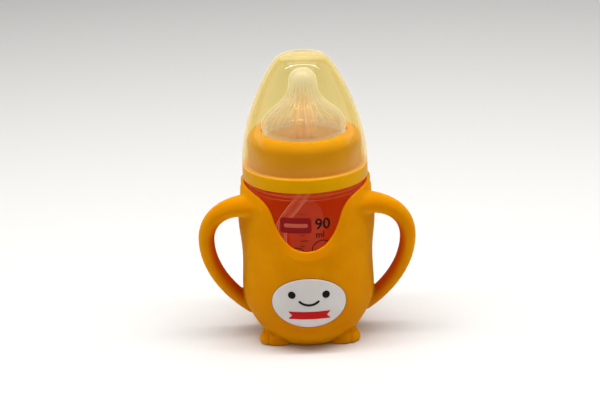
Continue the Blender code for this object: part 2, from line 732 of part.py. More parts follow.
def main():
    clear_scene()
    parts = new_collection("baby_bottle")
    cutters = new_collection("cutters")
    sleeve_set = [make_sleeve(parts, cutters), *make_badge(parts, cutters)]
    bottle = make_bottle(parts, cutters)
    collar = make_collar(parts, cutters)
    teat_set = [make_teat(parts), make_connector(parts, cutters)]
    straw_set = [make_straw(parts, cutters), *make_weight(parts)]
    cap = make_cap(parts)
    pieces = [*sleeve_set, bottle, collar, *teat_set, *straw_set, cap]
    bpy.context.view_layer.update()
    for piece in pieces:
        shade(piece)
    finish_materials(pieces)
    bottle_lift = hang([bottle], "bottle_lift")
    teat_lift = hang(teat_set, "teat_lift", bottle_lift)
    hang(straw_set, "straw_swing", teat_lift)
    collar_turn = hang([collar], "collar_turn", teat_lift)
    hang([cap], "cap_pull", collar_turn)


main()
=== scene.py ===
"""The look of the baby bottle: fine meshes, materials, floor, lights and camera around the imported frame.

Metres, +Z up, in the frame's own axes. The front looks towards -Y.
"""

import math

import bmesh
import bpy
import numpy as np
from mathutils import Matrix, Vector
from mathutils.geometry import delaunay_2d_cdt, interpolate_bezier


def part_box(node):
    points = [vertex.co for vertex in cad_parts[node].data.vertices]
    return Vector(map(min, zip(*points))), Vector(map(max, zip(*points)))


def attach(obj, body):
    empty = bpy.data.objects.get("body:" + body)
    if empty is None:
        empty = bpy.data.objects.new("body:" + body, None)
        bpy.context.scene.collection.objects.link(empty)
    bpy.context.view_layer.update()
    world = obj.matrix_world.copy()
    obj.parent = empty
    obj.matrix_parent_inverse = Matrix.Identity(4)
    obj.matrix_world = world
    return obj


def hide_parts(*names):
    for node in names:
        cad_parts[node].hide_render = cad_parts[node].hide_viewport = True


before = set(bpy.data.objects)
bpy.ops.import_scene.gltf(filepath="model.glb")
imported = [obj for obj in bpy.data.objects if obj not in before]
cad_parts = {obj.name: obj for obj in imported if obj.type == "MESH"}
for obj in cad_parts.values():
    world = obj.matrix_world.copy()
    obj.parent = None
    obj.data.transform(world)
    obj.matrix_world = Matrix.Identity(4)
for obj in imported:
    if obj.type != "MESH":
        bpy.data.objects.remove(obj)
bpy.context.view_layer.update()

MM = 0.001
TURN = 2 * math.pi
ROUND_SEGMENTS = 144

# Corners of the frame's boxes, which the radii and heights below start from.
_, SLEEVE_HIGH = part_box("sleeve")
BOTTLE_LOW, BOTTLE_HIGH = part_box("glass_bottle")
COLLAR_LOW, COLLAR_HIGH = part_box("collar")
TEAT_LOW, TEAT_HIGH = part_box("teat")
CONNECTOR_LOW, CONNECTOR_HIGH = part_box("straw_connector")
HOSE_LOW, HOSE_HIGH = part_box("straw_tube")
SHELL_LOW, SHELL_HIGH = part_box("weight_shell_lower")
UPPER_SHELL_LOW, UPPER_SHELL_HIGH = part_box("weight_shell_upper")
CORE_LOW, CORE_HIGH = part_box("weight_core")
CAP_LOW, CAP_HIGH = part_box("dust_cap")
BADGE_LOW, BADGE_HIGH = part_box("face_badge")

# Sleeve: an egg-bottomed tube.
SLEEVE_TOP = SLEEVE_HIGH.z
BELLY_RADIUS = SLEEVE_HIGH.y
BELLY_HEIGHT = 27 * MM
WAIST_RADIUS = BELLY_RADIUS - 0.5 * MM
WAIST_HEIGHT = 42 * MM
EGG_DROP = 13.2 * MM
EGG_POWER = 1.85
BORE_RADIUS = BOTTLE_HIGH.y + 0.3 * MM
BORE_FLOOR = BOTTLE_LOW.z - 0.3 * MM
BORE_EGG_DROP = 12.2 * MM

# Handles, feet and window of the sleeve.
HANDLE_RADIUS = 4.0 * MM
HANDLE_DEPTH = 5.6 * MM
HANDLE_SWELL = 0.45
HANDLE_START = Vector((20.0 * MM, 73.0 * MM))
HANDLE_UPPER = Vector((29.0 * MM, 73.0 * MM))
HANDLE_OUTERMOST = Vector((SLEEVE_HIGH.x - HANDLE_RADIUS, 52.5 * MM))
HANDLE_LOWER = Vector((29.0 * MM, 13.9 * MM))
HANDLE_STEPS = 13
FLARE_START = 46.0 * MM
FLARE_LENGTH = 21.0 * MM
FLARE_DEPTH = 5.2 * MM
HANDLE_LEAN = 0.24
HANDLE_LEAN_FOOT = 27.5 * MM
FOOT_CENTRE = (13.5 * MM, -11.1 * MM)
FOOT_LENGTH = 12.5 * MM
FOOT_WIDTH = 8.3 * MM
FOOT_HEIGHT = 6.9 * MM
FOOT_TURN = math.radians(20)
GROOVE_PLACE = 20.8 * MM
GROOVE_DEPTH = 0.9 * MM
GROOVE_REACH = 0.5 * MM
CREASE_DEPTH = 0.6 * MM
CREASE_REACH = 0.6 * MM
WINDOW_LOWEST = Vector((0.0, 55.2 * MM))
WINDOW_SIDE = Vector((15.4 * MM, 69.0 * MM))
WINDOW_TOP = Vector((34.5 * MM, SLEEVE_TOP + 0.2 * MM))
LIP_WIDTH = 4.6 * MM
LIP_DEPTH = 1.6 * MM

# The sleeve's flanks stand out a little between a low and a high height, and most in between.
FLANK_FLARE = 1.5 * MM
FLANK_LOW = 44.0 * MM
FLANK_MOST = 64.0 * MM
FLANK_HIGH = 78.0 * MM

# How softly the shapes of the sleeve run into one another. The handles' blend grows and then shrinks
# between pairs of heights.
HANDLE_BLEND = 1.2 * MM
BLEND_GROWTH = 1.8 * MM
GROWTH_HEIGHTS = (45.0 * MM, 58.0 * MM)
BLEND_LOSS = 1.6 * MM
LOSS_HEIGHTS = (60.0 * MM, 67.0 * MM)
FOOT_BLEND = 0.5 * MM
TOP_ROUND = 2.2 * MM
BASE_ROUND = 1.6 * MM
BORE_FLOOR_ROUND = 4.0 * MM
BORE_ROUND = 1.3 * MM
WINDOW_ROUND = 1.5 * MM

# Glass bottle and its thread.
BOTTLE_RADIUS = BOTTLE_HIGH.y
BOTTLE_BOTTOM = BOTTLE_LOW.z
GLASS_WALL = 2.2 * MM
SHOULDER_START = 74.0 * MM
BEAD_RADIUS = 29.0 * MM
BEAD_LOW = 80.0 * MM
BEAD_HIGH = 82.2 * MM
NECK_RADIUS = 25.0 * MM
NECK_BORE = 22.6 * MM
RIM_HEIGHT = BOTTLE_HIGH.z
PITCH = 4.0 * MM
THREAD_TURNS = 1.25
THREAD_START = 93.6 * MM
RIDGE_HEIGHT = 1.5 * MM
RIDGE_ROOT = 0.8 * MM
RIDGE_CREST = 0.4 * MM

# Collar, teat and connector.
COLLAR_BOTTOM = COLLAR_LOW.z
COLLAR_TOP = COLLAR_HIGH.z
LEDGE_HEIGHT = CAP_LOW.z - 0.3 * MM
BAND_RADIUS = COLLAR_HIGH.y
BAND_BORE = 29.6 * MM
UPPER_RADIUS = 28.5 * MM
THREAD_BORE = NECK_RADIUS + RIDGE_HEIGHT + 0.4 * MM
COLLAR_HOLE = 21.2 * MM
COLLAR_ROOF = 1.7 * MM
SHOULDER_ROUND = 5.0 * MM
CLAMP_RADIUS = TEAT_HIGH.y
FLANGE_LOW = TEAT_LOW.z
FLANGE_HIGH = COLLAR_TOP - COLLAR_ROOF - 0.3 * MM
TEAT_WALL = 1.7 * MM
TEAT_THROAT = 20.7 * MM
TEAT_BULGE = 21.3 * MM
TEAT_STEM = 7.0 * MM
TEAT_STEM_TOP = TEAT_HIGH.z - 6.4 * MM
TEAT_HOLE = 0.5 * MM
TEAT_WAIST = 119.5 * MM
TEAT_BELLY = 121.0 * MM
TEAT_RIBS = 24
RIB_DEPTH_INSIDE = 0.38 * MM
RIB_DEPTH_OUTSIDE = 0.16 * MM
RIBS_BEGIN = (109.0 * MM, 113.0 * MM)
RIBS_END = (127.0 * MM, 133.0 * MM)
COLUMN_RADIUS = 6.2 * MM
COLUMN_TOP = CONNECTOR_HIGH.z - 5.7 * MM
STUB_RADIUS = 3.0 * MM
CONNECTOR_WALL = 1.2 * MM
CONNECTOR_DISC = 1.1 * MM
DISC_LOW = RIM_HEIGHT + 0.3 * MM
VENT_RADIUS = 1.0 * MM
VENT_PLACE = 14.0 * MM

# Straw and its weight.
HOSE_RADIUS = 2.5 * MM
HOSE_BORE = 1.5 * MM
HOSE_STEPS = 90
NIPPLE_RADIUS = 1.2 * MM
NIPPLE_BORE = 0.7 * MM
BEND_TOP = 78.0 * MM
BEND_LOW = 58.0 * MM
WEIGHT_AXIS = Vector(((CORE_LOW.x + CORE_HIGH.x) / 2, (CORE_LOW.y + CORE_HIGH.y) / 2, 0.0))
WEIGHT_RADIUS = (SHELL_HIGH.x - SHELL_LOW.x) / 2
WEIGHT_WALL = 1.0 * MM
WEIGHT_BOTTOM = SHELL_LOW.z
WEIGHT_SPLIT = UPPER_SHELL_LOW.z
BARB_LENGTH = 4.0 * MM
WEIGHT_TOP = UPPER_SHELL_HIGH.z - BARB_LENGTH
CORE_RADIUS = (CORE_HIGH.x - CORE_LOW.x) / 2
CORE_BORE = 1.2 * MM

# Cap.
CAP_RADIUS = CAP_HIGH.y
CAP_TOP = CAP_HIGH.z
CAP_WALL = 1.3 * MM
CAP_DISH = 0.3 * MM
CAP_FLAT_RADIUS = 7.9 * MM
CAP_SHOULDER = (16.8 * MM, 140.0 * MM)

# Badge; depths are offsets from the sleeve's outer surface.
BADGE_CENTRE = ((BADGE_LOW.x + BADGE_HIGH.x) / 2, (BADGE_LOW.z + BADGE_HIGH.z) / 2)
BADGE_HALF = ((BADGE_HIGH.x - BADGE_LOW.x) / 2, (BADGE_HIGH.z - BADGE_LOW.z) / 2)
BADGE_FACE = 0.3 * MM
BADGE_BACK = -1.3 * MM
INLAY_FACE = 0.45 * MM
INLAY_BACK = -0.3 * MM
BADGE_ROUND = 0.5 * MM
SEAT_GAP = 0.15 * MM
SEAT_FLOOR = -1.6 * MM
INLAY_ROUND = 0.15 * MM
SMILE_RADIUS = 7.0 * MM
SMILE_HALF_WIDTH = 0.6 * MM
SMILE_SPREAD = 42
RIBBON_NOTCH = 2.0 * MM

# Print on the glass; the ink's back and face are heights over the glass.
INK_BACK = 0.01 * MM
INK_FACE = 0.06 * MM
LABEL_ACROSS = (-13.0 * MM, 2.3 * MM)
LABEL_HEIGHTS = (63.9 * MM, 71.9 * MM)
STRIPE_MARGIN = (1.8 * MM, 3.0 * MM)
SCALE_WIDTH = 17.5 * MM
SCALE_LOW = 20.0 * MM
SCALE_TOP = 61.0 * MM
FIRST_TICK = 26.0 * MM
SCALE_STEP = 3.0 * MM
SCALE_TICKS = 10
TICK_LEFT = -3.5 * MM
TICK_LENGTHS = (4.0 * MM, 2.2 * MM)
TICK_WIDTH = 0.5 * MM

# Words on the glass as name, words, place, size and boldness; bubbles as name, place and radius.
WORDS = (
    ("print_number", "90", (7.8 * MM, 68.2 * MM), 7.6 * MM, 0.16 * MM),
    ("print_unit", "ml", (6.4 * MM, 62.9 * MM), 4.4 * MM, 0.08 * MM),
)
BUBBLES = (
    ("print_bubble_right", (7.4 * MM, 54.8 * MM), 5.3 * MM),
    ("print_bubble_left", (-5.2 * MM, 51.5 * MM), 5.0 * MM),
)
BUBBLE_LINE = 0.45 * MM

# View: the camera stands in front of the object and a little above it.
VIEW_DISTANCE = 0.900
VIEW_HEIGHT = 0.374
VIEW_TILT = math.radians(18.6)
VIEW_LEAN = math.radians(1.75)
VIEW_LENS = 112.9
VIEW_SHIFT = -0.010

# Lights, each a name, a place, a width, a height and a power in watts, all aimed at one point.
LIGHTS_AIM = Vector((0.0, 0.0, 0.08))
SOFTBOXES = (
    ("softbox_top", (0.0, -0.10, 0.85), 1.0, 0.5, 4.6),
    ("strip_top", (0.0, -0.12, 0.80), 1.4, 0.035, 4.4),
    ("softbox_left", (-0.80, 0.10, 0.45), 0.5, 0.8, 1.1),
    ("softbox_right", (0.80, 0.10, 0.45), 0.5, 0.8, 1.1),
    ("softbox_back", (0.0, 0.80, 0.85), 1.2, 0.5, 2.4),
    ("softbox_front", (0.1, -1.10, 0.55), 0.6, 0.5, 1.1),
)
WORLD_COLOUR = (1.0, 0.99, 0.97, 1.0)
WORLD_STRENGTH = 0.18
FLOOR_HALF = 2.5


# ---- mesh helpers


def link(name, data):
    obj = bpy.data.objects.new(name, data)
    bpy.context.scene.collection.objects.link(obj)
    return obj


def mesh_object(name, vertices, faces):
    """A closed mesh with its faces turned outwards."""
    shape = bmesh.new()
    corners = [shape.verts.new(tuple(vertex)) for vertex in vertices]
    for face in faces:
        shape.faces.new([corners[index] for index in face])
    bmesh.ops.recalc_face_normals(shape, faces=shape.faces)
    mesh = bpy.data.meshes.new(name)
    shape.to_mesh(mesh)
    shape.free()
    return link(name, mesh)


def shade(obj, angle=40):
    obj.data.shade_smooth()
    obj.data.set_sharp_from_angle(angle=math.radians(angle))
    return obj


def modify(obj, kind, **settings):
    """Changes a mesh for good by one modifier."""
    modifier = obj.modifiers.new(kind.lower(), kind)
    for key, value in settings.items():
        setattr(modifier, key, value)
    depsgraph = bpy.context.evaluated_depsgraph_get()
    mesh = bpy.data.meshes.new_from_object(obj.evaluated_get(depsgraph))
    obj.modifiers.clear()
    obj.data = mesh
    return obj


def cut(obj, tool):
    """Takes the tool's shape out of obj and removes the tool."""
    modify(obj, "BOOLEAN", operation="DIFFERENCE", object=tool)
    bpy.data.objects.remove(tool)
    return obj


def steps(start, end, count):
    """Angles in radians, evenly from start to end in degrees."""
    return [math.radians(start + (end - start) * step / count) for step in range(count + 1)]


def arc(centre, radius, start, end, count):
    angles = steps(start, end, count)
    return [(centre[0] + radius * math.cos(a), centre[1] + radius * math.sin(a)) for a in angles]


def ellipse(centre, half_width, half_height, count):
    angles = steps(0, 360, count)[:-1]
    return [(centre[0] + half_width * math.cos(a), centre[1] + half_height * math.sin(a)) for a in angles]


def bezier(first, first_handle, second_handle, second, count):
    corners = [Vector(corner) for corner in (first, first_handle, second_handle, second)]
    return [(point[0], point[1]) for point in interpolate_bezier(*corners, count)]


def sweep(start, leaving, arriving, end, count):
    """A smooth curve between two points; leaving and arriving lead from them to its control points."""
    return bezier(start, start + Vector(leaving), end + Vector(arriving), end, count)


def fillet(points, radius, closed=False, count=5):
    """Rounds each corner of an outline that turns by more than 20 degrees."""
    rounded = []
    for index, point in enumerate(points):
        corner = Vector(point)
        before = Vector(points[index - 1]) - corner
        after = Vector(points[(index + 1) % len(points)]) - corner
        at_end = not closed and index in (0, len(points) - 1)
        if at_end or math.pi - before.angle(after) < math.radians(20):
            rounded.append(tuple(point))
            continue
        half_turn = (math.pi - before.angle(after)) / 2
        reach = min(radius * math.tan(half_turn), before.length * 0.45, after.length * 0.45)
        start = corner + before.normalized() * reach
        end = corner + after.normalized() * reach
        rounded += bezier(start, start.lerp(corner, 0.55), end.lerp(corner, 0.55), end, count)
    return rounded


def refine(points, longest, low, high):
    """Splits the stretches of a profile between two heights so that none is longer than a length."""
    fine = [points[0]]
    for first, second in zip(points, points[1:]):
        between = min(first[1], second[1]) >= low and max(first[1], second[1]) <= high
        count = math.ceil(math.dist(first, second) / longest) if between else 1
        for step in range(1, count + 1):
            part = step / count
            fine.append(tuple(a + (b - a) * part for a, b in zip(first, second)))
    return fine


def grid_faces(index, closed):
    """Faces between the rows of a grid of vertex numbers whose rows are rings.

    A closed grid joins its last row to its first. Where a ring is a single point, faces are triangles.
    """
    rows, columns = index.shape
    faces = []
    for row in range(rows if closed else rows - 1):
        below = (row + 1) % rows
        for column in range(columns):
            beside = (column + 1) % columns
            face = [index[row, column], index[below, column], index[below, beside], index[row, beside]]
            faces.append([int(v) for n, v in enumerate(face) if v != face[n - 1]])
    return faces


def turned(name, profile, segments=ROUND_SEGMENTS, reshape=None):
    """A solid turned about Z; it is a ring if its profile starts off the axis.

    reshape takes the radius, angle and height of every vertex and returns its new radius.
    """
    ring = profile[0][0] > 0
    rows = np.array(profile, float)
    angle = np.tile(np.arange(segments) * TURN / segments, (len(rows), 1))
    radius = np.repeat(rows[:, 0:1], segments, 1)
    height = np.repeat(rows[:, 1:2], segments, 1)
    if reshape:
        radius = reshape(radius, angle, height)
    grid = np.stack([radius * np.cos(angle), radius * np.sin(angle), height], -1)
    vertices = []
    index = np.zeros(angle.shape, int)
    for row, on_axis in enumerate(rows[:, 0] < 1e-6):
        index[row] = len(vertices) + (0 if on_axis else np.arange(segments))
        vertices.extend(grid[row, :1] if on_axis else grid[row])
    return shade(mesh_object(name, vertices, grid_faces(index, ring)))


def hose(name, path, radius, bore, count=24):
    """A tube along a smooth path of points."""
    points = np.array([tuple(point) for point in path], float)
    tangents = np.gradient(points, axis=0)
    tangents /= np.linalg.norm(tangents, axis=1, keepdims=True)
    side = np.array([0.0, 1.0, 0.0])
    outer, inner = [], []
    for point, tangent in zip(points, tangents):
        side = side - tangent * side.dot(tangent)
        side /= np.linalg.norm(side)
        other = np.cross(tangent, side)
        ways = [side * math.cos(a) + other * math.sin(a) for a in np.arange(count) * TURN / count]
        outer.append([point + way * radius for way in ways])
        inner.append([point + way * bore for way in ways])
    vertices = [vertex for ring in outer + inner[::-1] for vertex in ring]
    index = np.arange(len(vertices)).reshape(-1, count)
    return shade(mesh_object(name, vertices, grid_faces(index, closed=True)))


# ---- plates that follow a curved surface


def sides(loop):
    return zip(loop, loop[1:] + loop[:1])


def signed_area(loop):
    return sum(a[0] * b[1] - b[0] * a[1] for a, b in sides(loop)) / 2


def even(loop, longest):
    """Splits an outline's long edges, so that it can follow a curved surface."""
    points = []
    for first, second in sides(loop):
        count = math.ceil(math.dist(first, second) / longest)
        points += [tuple(Vector(first).lerp(Vector(second), step / count)) for step in range(count)]
    return points


def inset(loop, distance):
    """Moves an outline to its left, into the material, by a small distance."""
    moved = []
    for n, point in enumerate(loop):
        here = Vector(point)
        before = (here - Vector(loop[n - 1])).normalized()
        after = (Vector(loop[(n + 1) % len(loop)]) - here).normalized()
        way = before + after
        moved.append(tuple(here + Vector((-way.y, way.x)).normalized() * distance))
    return moved


def inside(x, z, loops):
    """True for the points that lie within the outlines, holes left out."""
    within = np.zeros(np.shape(x), bool)
    for loop in loops:
        for (ax, az), (bx, bz) in sides(loop):
            crosses = (az > z) != (bz > z)
            run = (bx - ax) / (bz - az) if bz != az else 0.0
            within ^= crosses & (x < ax + (z - az) * run)
    return within


def grid_within(loops, spacing):
    """Evenly spaced points inside the outlines, kept clear of their edges."""
    shy = [inset(loop, spacing * 0.6) for loop in loops]
    xs = [point[0] for point in loops[0]]
    zs = [point[1] for point in loops[0]]
    x, z = np.meshgrid(np.arange(min(xs), max(xs), spacing), np.arange(min(zs), max(zs), spacing))
    x, z = x.ravel(), z.ravel()
    kept = inside(x, z, shy)
    return list(zip(x[kept].tolist(), z[kept].tolist()))


def triangulate(loops, extra):
    """Triangles over the area between the outlines, using their points and the extra ones."""
    points = [point for loop in loops for point in loop] + extra
    edges = []
    start = 0
    for loop in loops:
        edges += [(start + n, start + (n + 1) % len(loop)) for n in range(len(loop))]
        start += len(loop)
    flat = [Vector(point) / MM for point in points]
    _, _, faces, sources, _, _ = delaunay_2d_cdt(flat, edges, [], 0, 1e-5)
    names = [source[0] for source in sources]
    triangles = [[names[corner] for corner in face] for face in faces]
    centres = np.array([np.mean([points[corner] for corner in face], axis=0) for face in triangles])
    kept = inside(centres[:, 0], centres[:, 1], loops)
    return [face for face, keep in zip(triangles, kept) if keep]


def plate(name, outlines, place, face, back, rounding, spacing):
    """A closed plate on a curved surface, its front edge rounded.

    The outlines are (x, z) loops, the first one outside and the others holes. place(x, z, offset) is the
    point of the surface in front of (x, z), moved out by offset.
    """
    loops = [outlines[0] if signed_area(outlines[0]) > 0 else outlines[0][::-1]]
    loops += [hole if signed_area(hole) < 0 else hole[::-1] for hole in outlines[1:]]
    loops = [even(loop, spacing) for loop in loops]
    front = [inset(loop, rounding) for loop in loops]
    extra = grid_within(front, spacing)
    triangles = triangulate(front, extra)
    rim = sum(len(loop) for loop in loops)
    rows = []
    for angle in steps(0, 90, 4):
        shrink = rounding * (1 - math.sin(angle))
        depth = face - rounding * (1 - math.cos(angle))
        rows.append([place(x, z, depth) for loop in loops for x, z in inset(loop, shrink)])
    rows.append([place(x, z, back) for loop in loops for x, z in loop])
    vertices = [point for row in rows for point in row]
    front_grid = len(vertices)
    vertices += [place(x, z, face) for x, z in extra]
    back_grid = len(vertices)
    vertices += [place(x, z, back) for x, z in extra]
    last_row = (len(rows) - 1) * rim
    faces = [[v if v < rim else v - rim + front_grid for v in triangle] for triangle in triangles]
    for triangle in triangles:
        faces.append([v + last_row if v < rim else v - rim + back_grid for v in triangle])
    start = 0
    for loop in loops:
        index = rim * np.arange(len(rows))[:, None] + np.arange(start, start + len(loop))
        faces += grid_faces(index, closed=False)
        start += len(loop)
    return shade(mesh_object(name, vertices, faces), 50)


# ---- the sleeve's smooth shape


def smooth_step(value, low, high):
    part = np.clip((value - low) / (high - low), 0.0, 1.0)
    return part * part * (3 - 2 * part)


def smooth_min(a, b, reach):
    blend = np.clip(reach - np.abs(a - b), 0.0, None) / reach
    return np.minimum(a, b) - blend * blend * reach / 4


def smooth_max(a, b, reach):
    return -smooth_min(-a, -b, reach)


def sleeve_radius(z):
    """The sleeve's outer radius at a height, and how fast it grows with height."""
    low = np.clip((BELLY_HEIGHT - z) / BELLY_HEIGHT, 0.0, 1.0)
    waist = (BELLY_RADIUS - WAIST_RADIUS) * smooth_step(z, BELLY_HEIGHT, WAIST_HEIGHT)
    slope = EGG_DROP * EGG_POWER / BELLY_HEIGHT * low ** (EGG_POWER - 1)
    return BELLY_RADIUS - EGG_DROP * low**EGG_POWER - waist, slope


def sleeve_front(x, z, offset):
    radius = float(sleeve_radius(z)[0]) + offset
    return (x, -math.sqrt(radius * radius - x * x), z)


def path_distance(x, z, path):
    """Distance from points to a path in the XZ plane, and how many steps along the path they are."""
    nearest = np.full(x.shape, 1.0)
    along = np.zeros(x.shape)
    for step, ((ax, az), (bx, bz)) in enumerate(zip(path, path[1:])):
        dx, dz = bx - ax, bz - az
        part = np.clip(((x - ax) * dx + (z - az) * dz) / (dx * dx + dz * dz), 0.0, 1.0)
        distance = np.hypot(x - ax - part * dx, z - az - part * dz)
        nearer = distance < nearest
        nearest = np.where(nearer, distance, nearest)
        along = np.where(nearer, step + part, along)
    return nearest, along


def handle_path():
    middle = HANDLE_OUTERMOST
    upper = sweep(HANDLE_UPPER, (15 * MM, 0.0), (0.3 * MM, 11 * MM), middle, HANDLE_STEPS)
    lower = sweep(middle, (-0.2 * MM, -14.5 * MM), (13 * MM, 10 * MM), HANDLE_LOWER, HANDLE_STEPS)
    return [tuple(HANDLE_START)] + upper + lower[1:]


def window_path():
    """The window's right edge, from its lowest point to well beyond the sleeve."""
    low = sweep(WINDOW_LOWEST, (9.5 * MM, 0.0), (-2.2 * MM, -5.5 * MM), WINDOW_SIDE, 14)
    high = sweep(WINDOW_SIDE, (2.6 * MM, 10.0 * MM), (-13.0 * MM, -2.7 * MM), WINDOW_TOP, 14)
    return low + high[1:] + [(60 * MM, WINDOW_TOP.y + 2 * MM)]


HANDLE_PATH = handle_path()
WINDOW_PATH = window_path()


def window_distance(x, y, z):
    """Distance from the window's edge, negative inside it; only the sleeve's front is open."""
    edge_x = [point[0] for point in WINDOW_PATH]
    edge_z = [point[1] for point in WINDOW_PATH]
    distance, _ = path_distance(np.abs(x), z, WINDOW_PATH)
    flat = np.where(z > np.interp(np.abs(x), edge_x, edge_z), -distance, distance)
    return np.maximum(flat, y)


def handle_distance(x, y, z):
    """An oval bar along the handle's path, deeper at its upper root, that leans forward at the top."""
    y = y + HANDLE_LEAN * (z - HANDLE_LEAN_FOOT)
    upper = smooth_step(z, HANDLE_OUTERMOST.y, HANDLE_OUTERMOST.y + 6 * MM)
    share = np.clip((FLARE_START - np.abs(x)) / FLARE_LENGTH, 0.0, 1.2) * upper
    distance, along = path_distance(np.abs(x), z, HANDLE_PATH)
    near_root = 1 - np.clip((along - 1) / (HANDLE_STEPS - 1), 0.0, 1.0)
    radius = HANDLE_RADIUS * (1 + HANDLE_SWELL * near_root**2)
    depth = HANDLE_DEPTH + FLARE_DEPTH * share**1.5
    return np.hypot(distance, y * radius / depth) - radius


def foot_distance(x, y, z):
    """A pebble, oval in plan, with a flat round-shouldered top and a shallow groove down its front."""
    east = np.abs(x) - FOOT_CENTRE[0]
    north = y - FOOT_CENTRE[1]
    along = east * math.cos(FOOT_TURN) - north * math.sin(FOOT_TURN)
    across = east * math.sin(FOOT_TURN) + north * math.cos(FOOT_TURN)
    plan = np.hypot(along / FOOT_LENGTH, across / FOOT_WIDTH)
    size = (plan**4 + (z / FOOT_HEIGHT) ** 4) ** 0.25
    groove = GROOVE_DEPTH * np.exp(-(((np.abs(x) - GROOVE_PLACE) / GROOVE_REACH) ** 2))
    return (size - 1) * FOOT_WIDTH * 0.85 + groove


def sleeve_distance(points):
    """Signed distance to the sleeve's surface, near enough for points close to it."""
    x, y, z = points.T
    r = np.hypot(x, y)
    window = window_distance(x, y, z)
    outer, slope = sleeve_radius(z)
    lip = LIP_DEPTH * np.clip(1 - window / LIP_WIDTH, 0.0, 1.0)
    beside = (np.abs(x) / np.maximum(r, MM)) ** 6
    swell = smooth_step(z, FLANK_LOW, FLANK_MOST) * (1 - smooth_step(z, FLANK_MOST, FLANK_HIGH))
    body = (r - outer - FLANK_FLARE * beside * swell + lip) / np.sqrt(1 + slope * slope)
    body = smooth_max(body, z - SLEEVE_TOP, TOP_ROUND)
    grown = HANDLE_BLEND + BLEND_GROWTH * smooth_step(z, *GROWTH_HEIGHTS)
    blend = grown - BLEND_LOSS * smooth_step(z, *LOSS_HEIGHTS)
    body = smooth_min(body, handle_distance(x, y, z), blend)
    foot = foot_distance(x, y, z)
    crease = CREASE_DEPTH * np.exp(-(((body - foot) / CREASE_REACH) ** 2))
    body = smooth_min(body, foot, FOOT_BLEND) + crease
    body = smooth_max(body, -z, BASE_ROUND)
    low = np.clip((BELLY_HEIGHT - z) / (BELLY_HEIGHT - BORE_FLOOR), 0.0, 1.0)
    bore_side = r - BORE_RADIUS + BORE_EGG_DROP * low**EGG_POWER
    bore = smooth_max(bore_side, BORE_FLOOR - z, BORE_FLOOR_ROUND)
    body = smooth_max(body, -bore, BORE_ROUND)
    return smooth_max(body, -window, WINDOW_ROUND)


def settle(obj, distance, rounds):
    """Moves each vertex onto the surface where distance is zero, along the steepest way."""
    points = np.empty(len(obj.data.vertices) * 3)
    obj.data.vertices.foreach_get("co", points)
    points = points.reshape(-1, 3)
    nudge = 0.02 * MM
    for _ in range(rounds):
        here = distance(points)
        gradient = np.stack([distance(points + nudge * unit) - here for unit in np.eye(3)], -1) / nudge
        steepness = np.clip((gradient**2).sum(1), 0.1, None)
        step = np.clip(here / steepness, -0.8 * MM, 0.8 * MM)
        points = points - step[:, None] * gradient
    obj.data.vertices.foreach_set("co", points.ravel())
    obj.data.update()


def make_sleeve():
    """The silicone moulding: the frame's solid remeshed finely and settled onto its smooth shape."""
    obj = link("sleeve_silicone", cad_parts["sleeve"].data.copy())
    obj.data.materials.clear()
    modify(obj, "REMESH", mode="VOXEL", voxel_size=1.0 * MM)
    settle(obj, sleeve_distance, 5)
    modify(obj, "REMESH", mode="VOXEL", voxel_size=0.6 * MM)
    settle(obj, sleeve_distance, 3)
    modify(obj, "SMOOTH", iterations=2)
    settle(obj, sleeve_distance, 2)
    outline = badge_outline(SEAT_GAP)
    seat = plate("badge_seat", [outline], sleeve_front, 5 * MM, SEAT_FLOOR, 0.01 * MM, 2 * MM)
    return shade(cut(obj, seat), 50)


# ---- badge


def badge_outline(grow):
    return ellipse(BADGE_CENTRE, BADGE_HALF[0] + grow, BADGE_HALF[1] + grow, 128)


def make_badge():
    outline = badge_outline(-0.05 * MM)
    return plate("badge_plate", [outline], sleeve_front, BADGE_FACE, BADGE_BACK, BADGE_ROUND, 1.2 * MM)


def inlay(name, outline):
    return plate(name, [outline], sleeve_front, INLAY_FACE, INLAY_BACK, INLAY_ROUND, 0.9 * MM)


def make_eye(node):
    low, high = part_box(node)
    centre = ((low.x + high.x) / 2, (low.z + high.z) / 2)
    radius = (high.x - low.x) / 2
    return inlay(f"{node}_pad", ellipse(centre, radius, radius, 48))


def make_smile():
    """A short arc of even width with round ends."""
    low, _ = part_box("badge_smile")
    half = SMILE_HALF_WIDTH
    centre = (0.0, low.z + half + SMILE_RADIUS)
    left, right = -90 - SMILE_SPREAD, -90 + SMILE_SPREAD
    left_end, right_end = arc(centre, SMILE_RADIUS, left, right, 1)
    outline = arc(centre, SMILE_RADIUS + half, left, right, 32)
    outline += arc(right_end, half, right, right + 180, 8)[1:-1]
    outline += arc(centre, SMILE_RADIUS - half, right, left, 32)
    outline += arc(left_end, half, left + 180, left + 360, 8)[1:-1]
    return inlay("badge_smile_pad", outline)


def make_ribbon():
    """A level banner with a notch in each end."""
    low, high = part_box("badge_ribbon")
    middle = (low.z + high.z) / 2
    right = [(high.x, low.z), (high.x - RIBBON_NOTCH, middle), (high.x, high.z)]
    left = [(-x, z) for x, z in reversed(right)]
    return inlay("badge_ribbon_pad", fillet(right + left, 0.3 * MM, closed=True))


# ---- bottle, collar and teat


def ridge(angle, z, start):
    """How much of a helical ridge stands at an angle and height, from 0 to 1."""
    share = np.zeros(np.shape(z))
    for whole_turns in range(math.ceil(THREAD_TURNS)):
        turns = angle / TURN + whole_turns
        across = 1 - smooth_step(np.abs(z - start - PITCH * turns), RIDGE_CREST, RIDGE_ROOT)
        ends = smooth_step(turns, 0.0, 0.05) * (1 - smooth_step(turns, THREAD_TURNS - 0.05, THREAD_TURNS))
        share = np.maximum(share, across * ends)
    return share


def egg(radius, drop, lowest, count):
    """An egg's profile from its widest height down to its flat bottom."""
    span = BELLY_HEIGHT - lowest
    shares = [math.sin(a) for a in steps(0, 90, count)]
    return [(radius - drop * share**EGG_POWER, BELLY_HEIGHT - span * share) for share in shares]


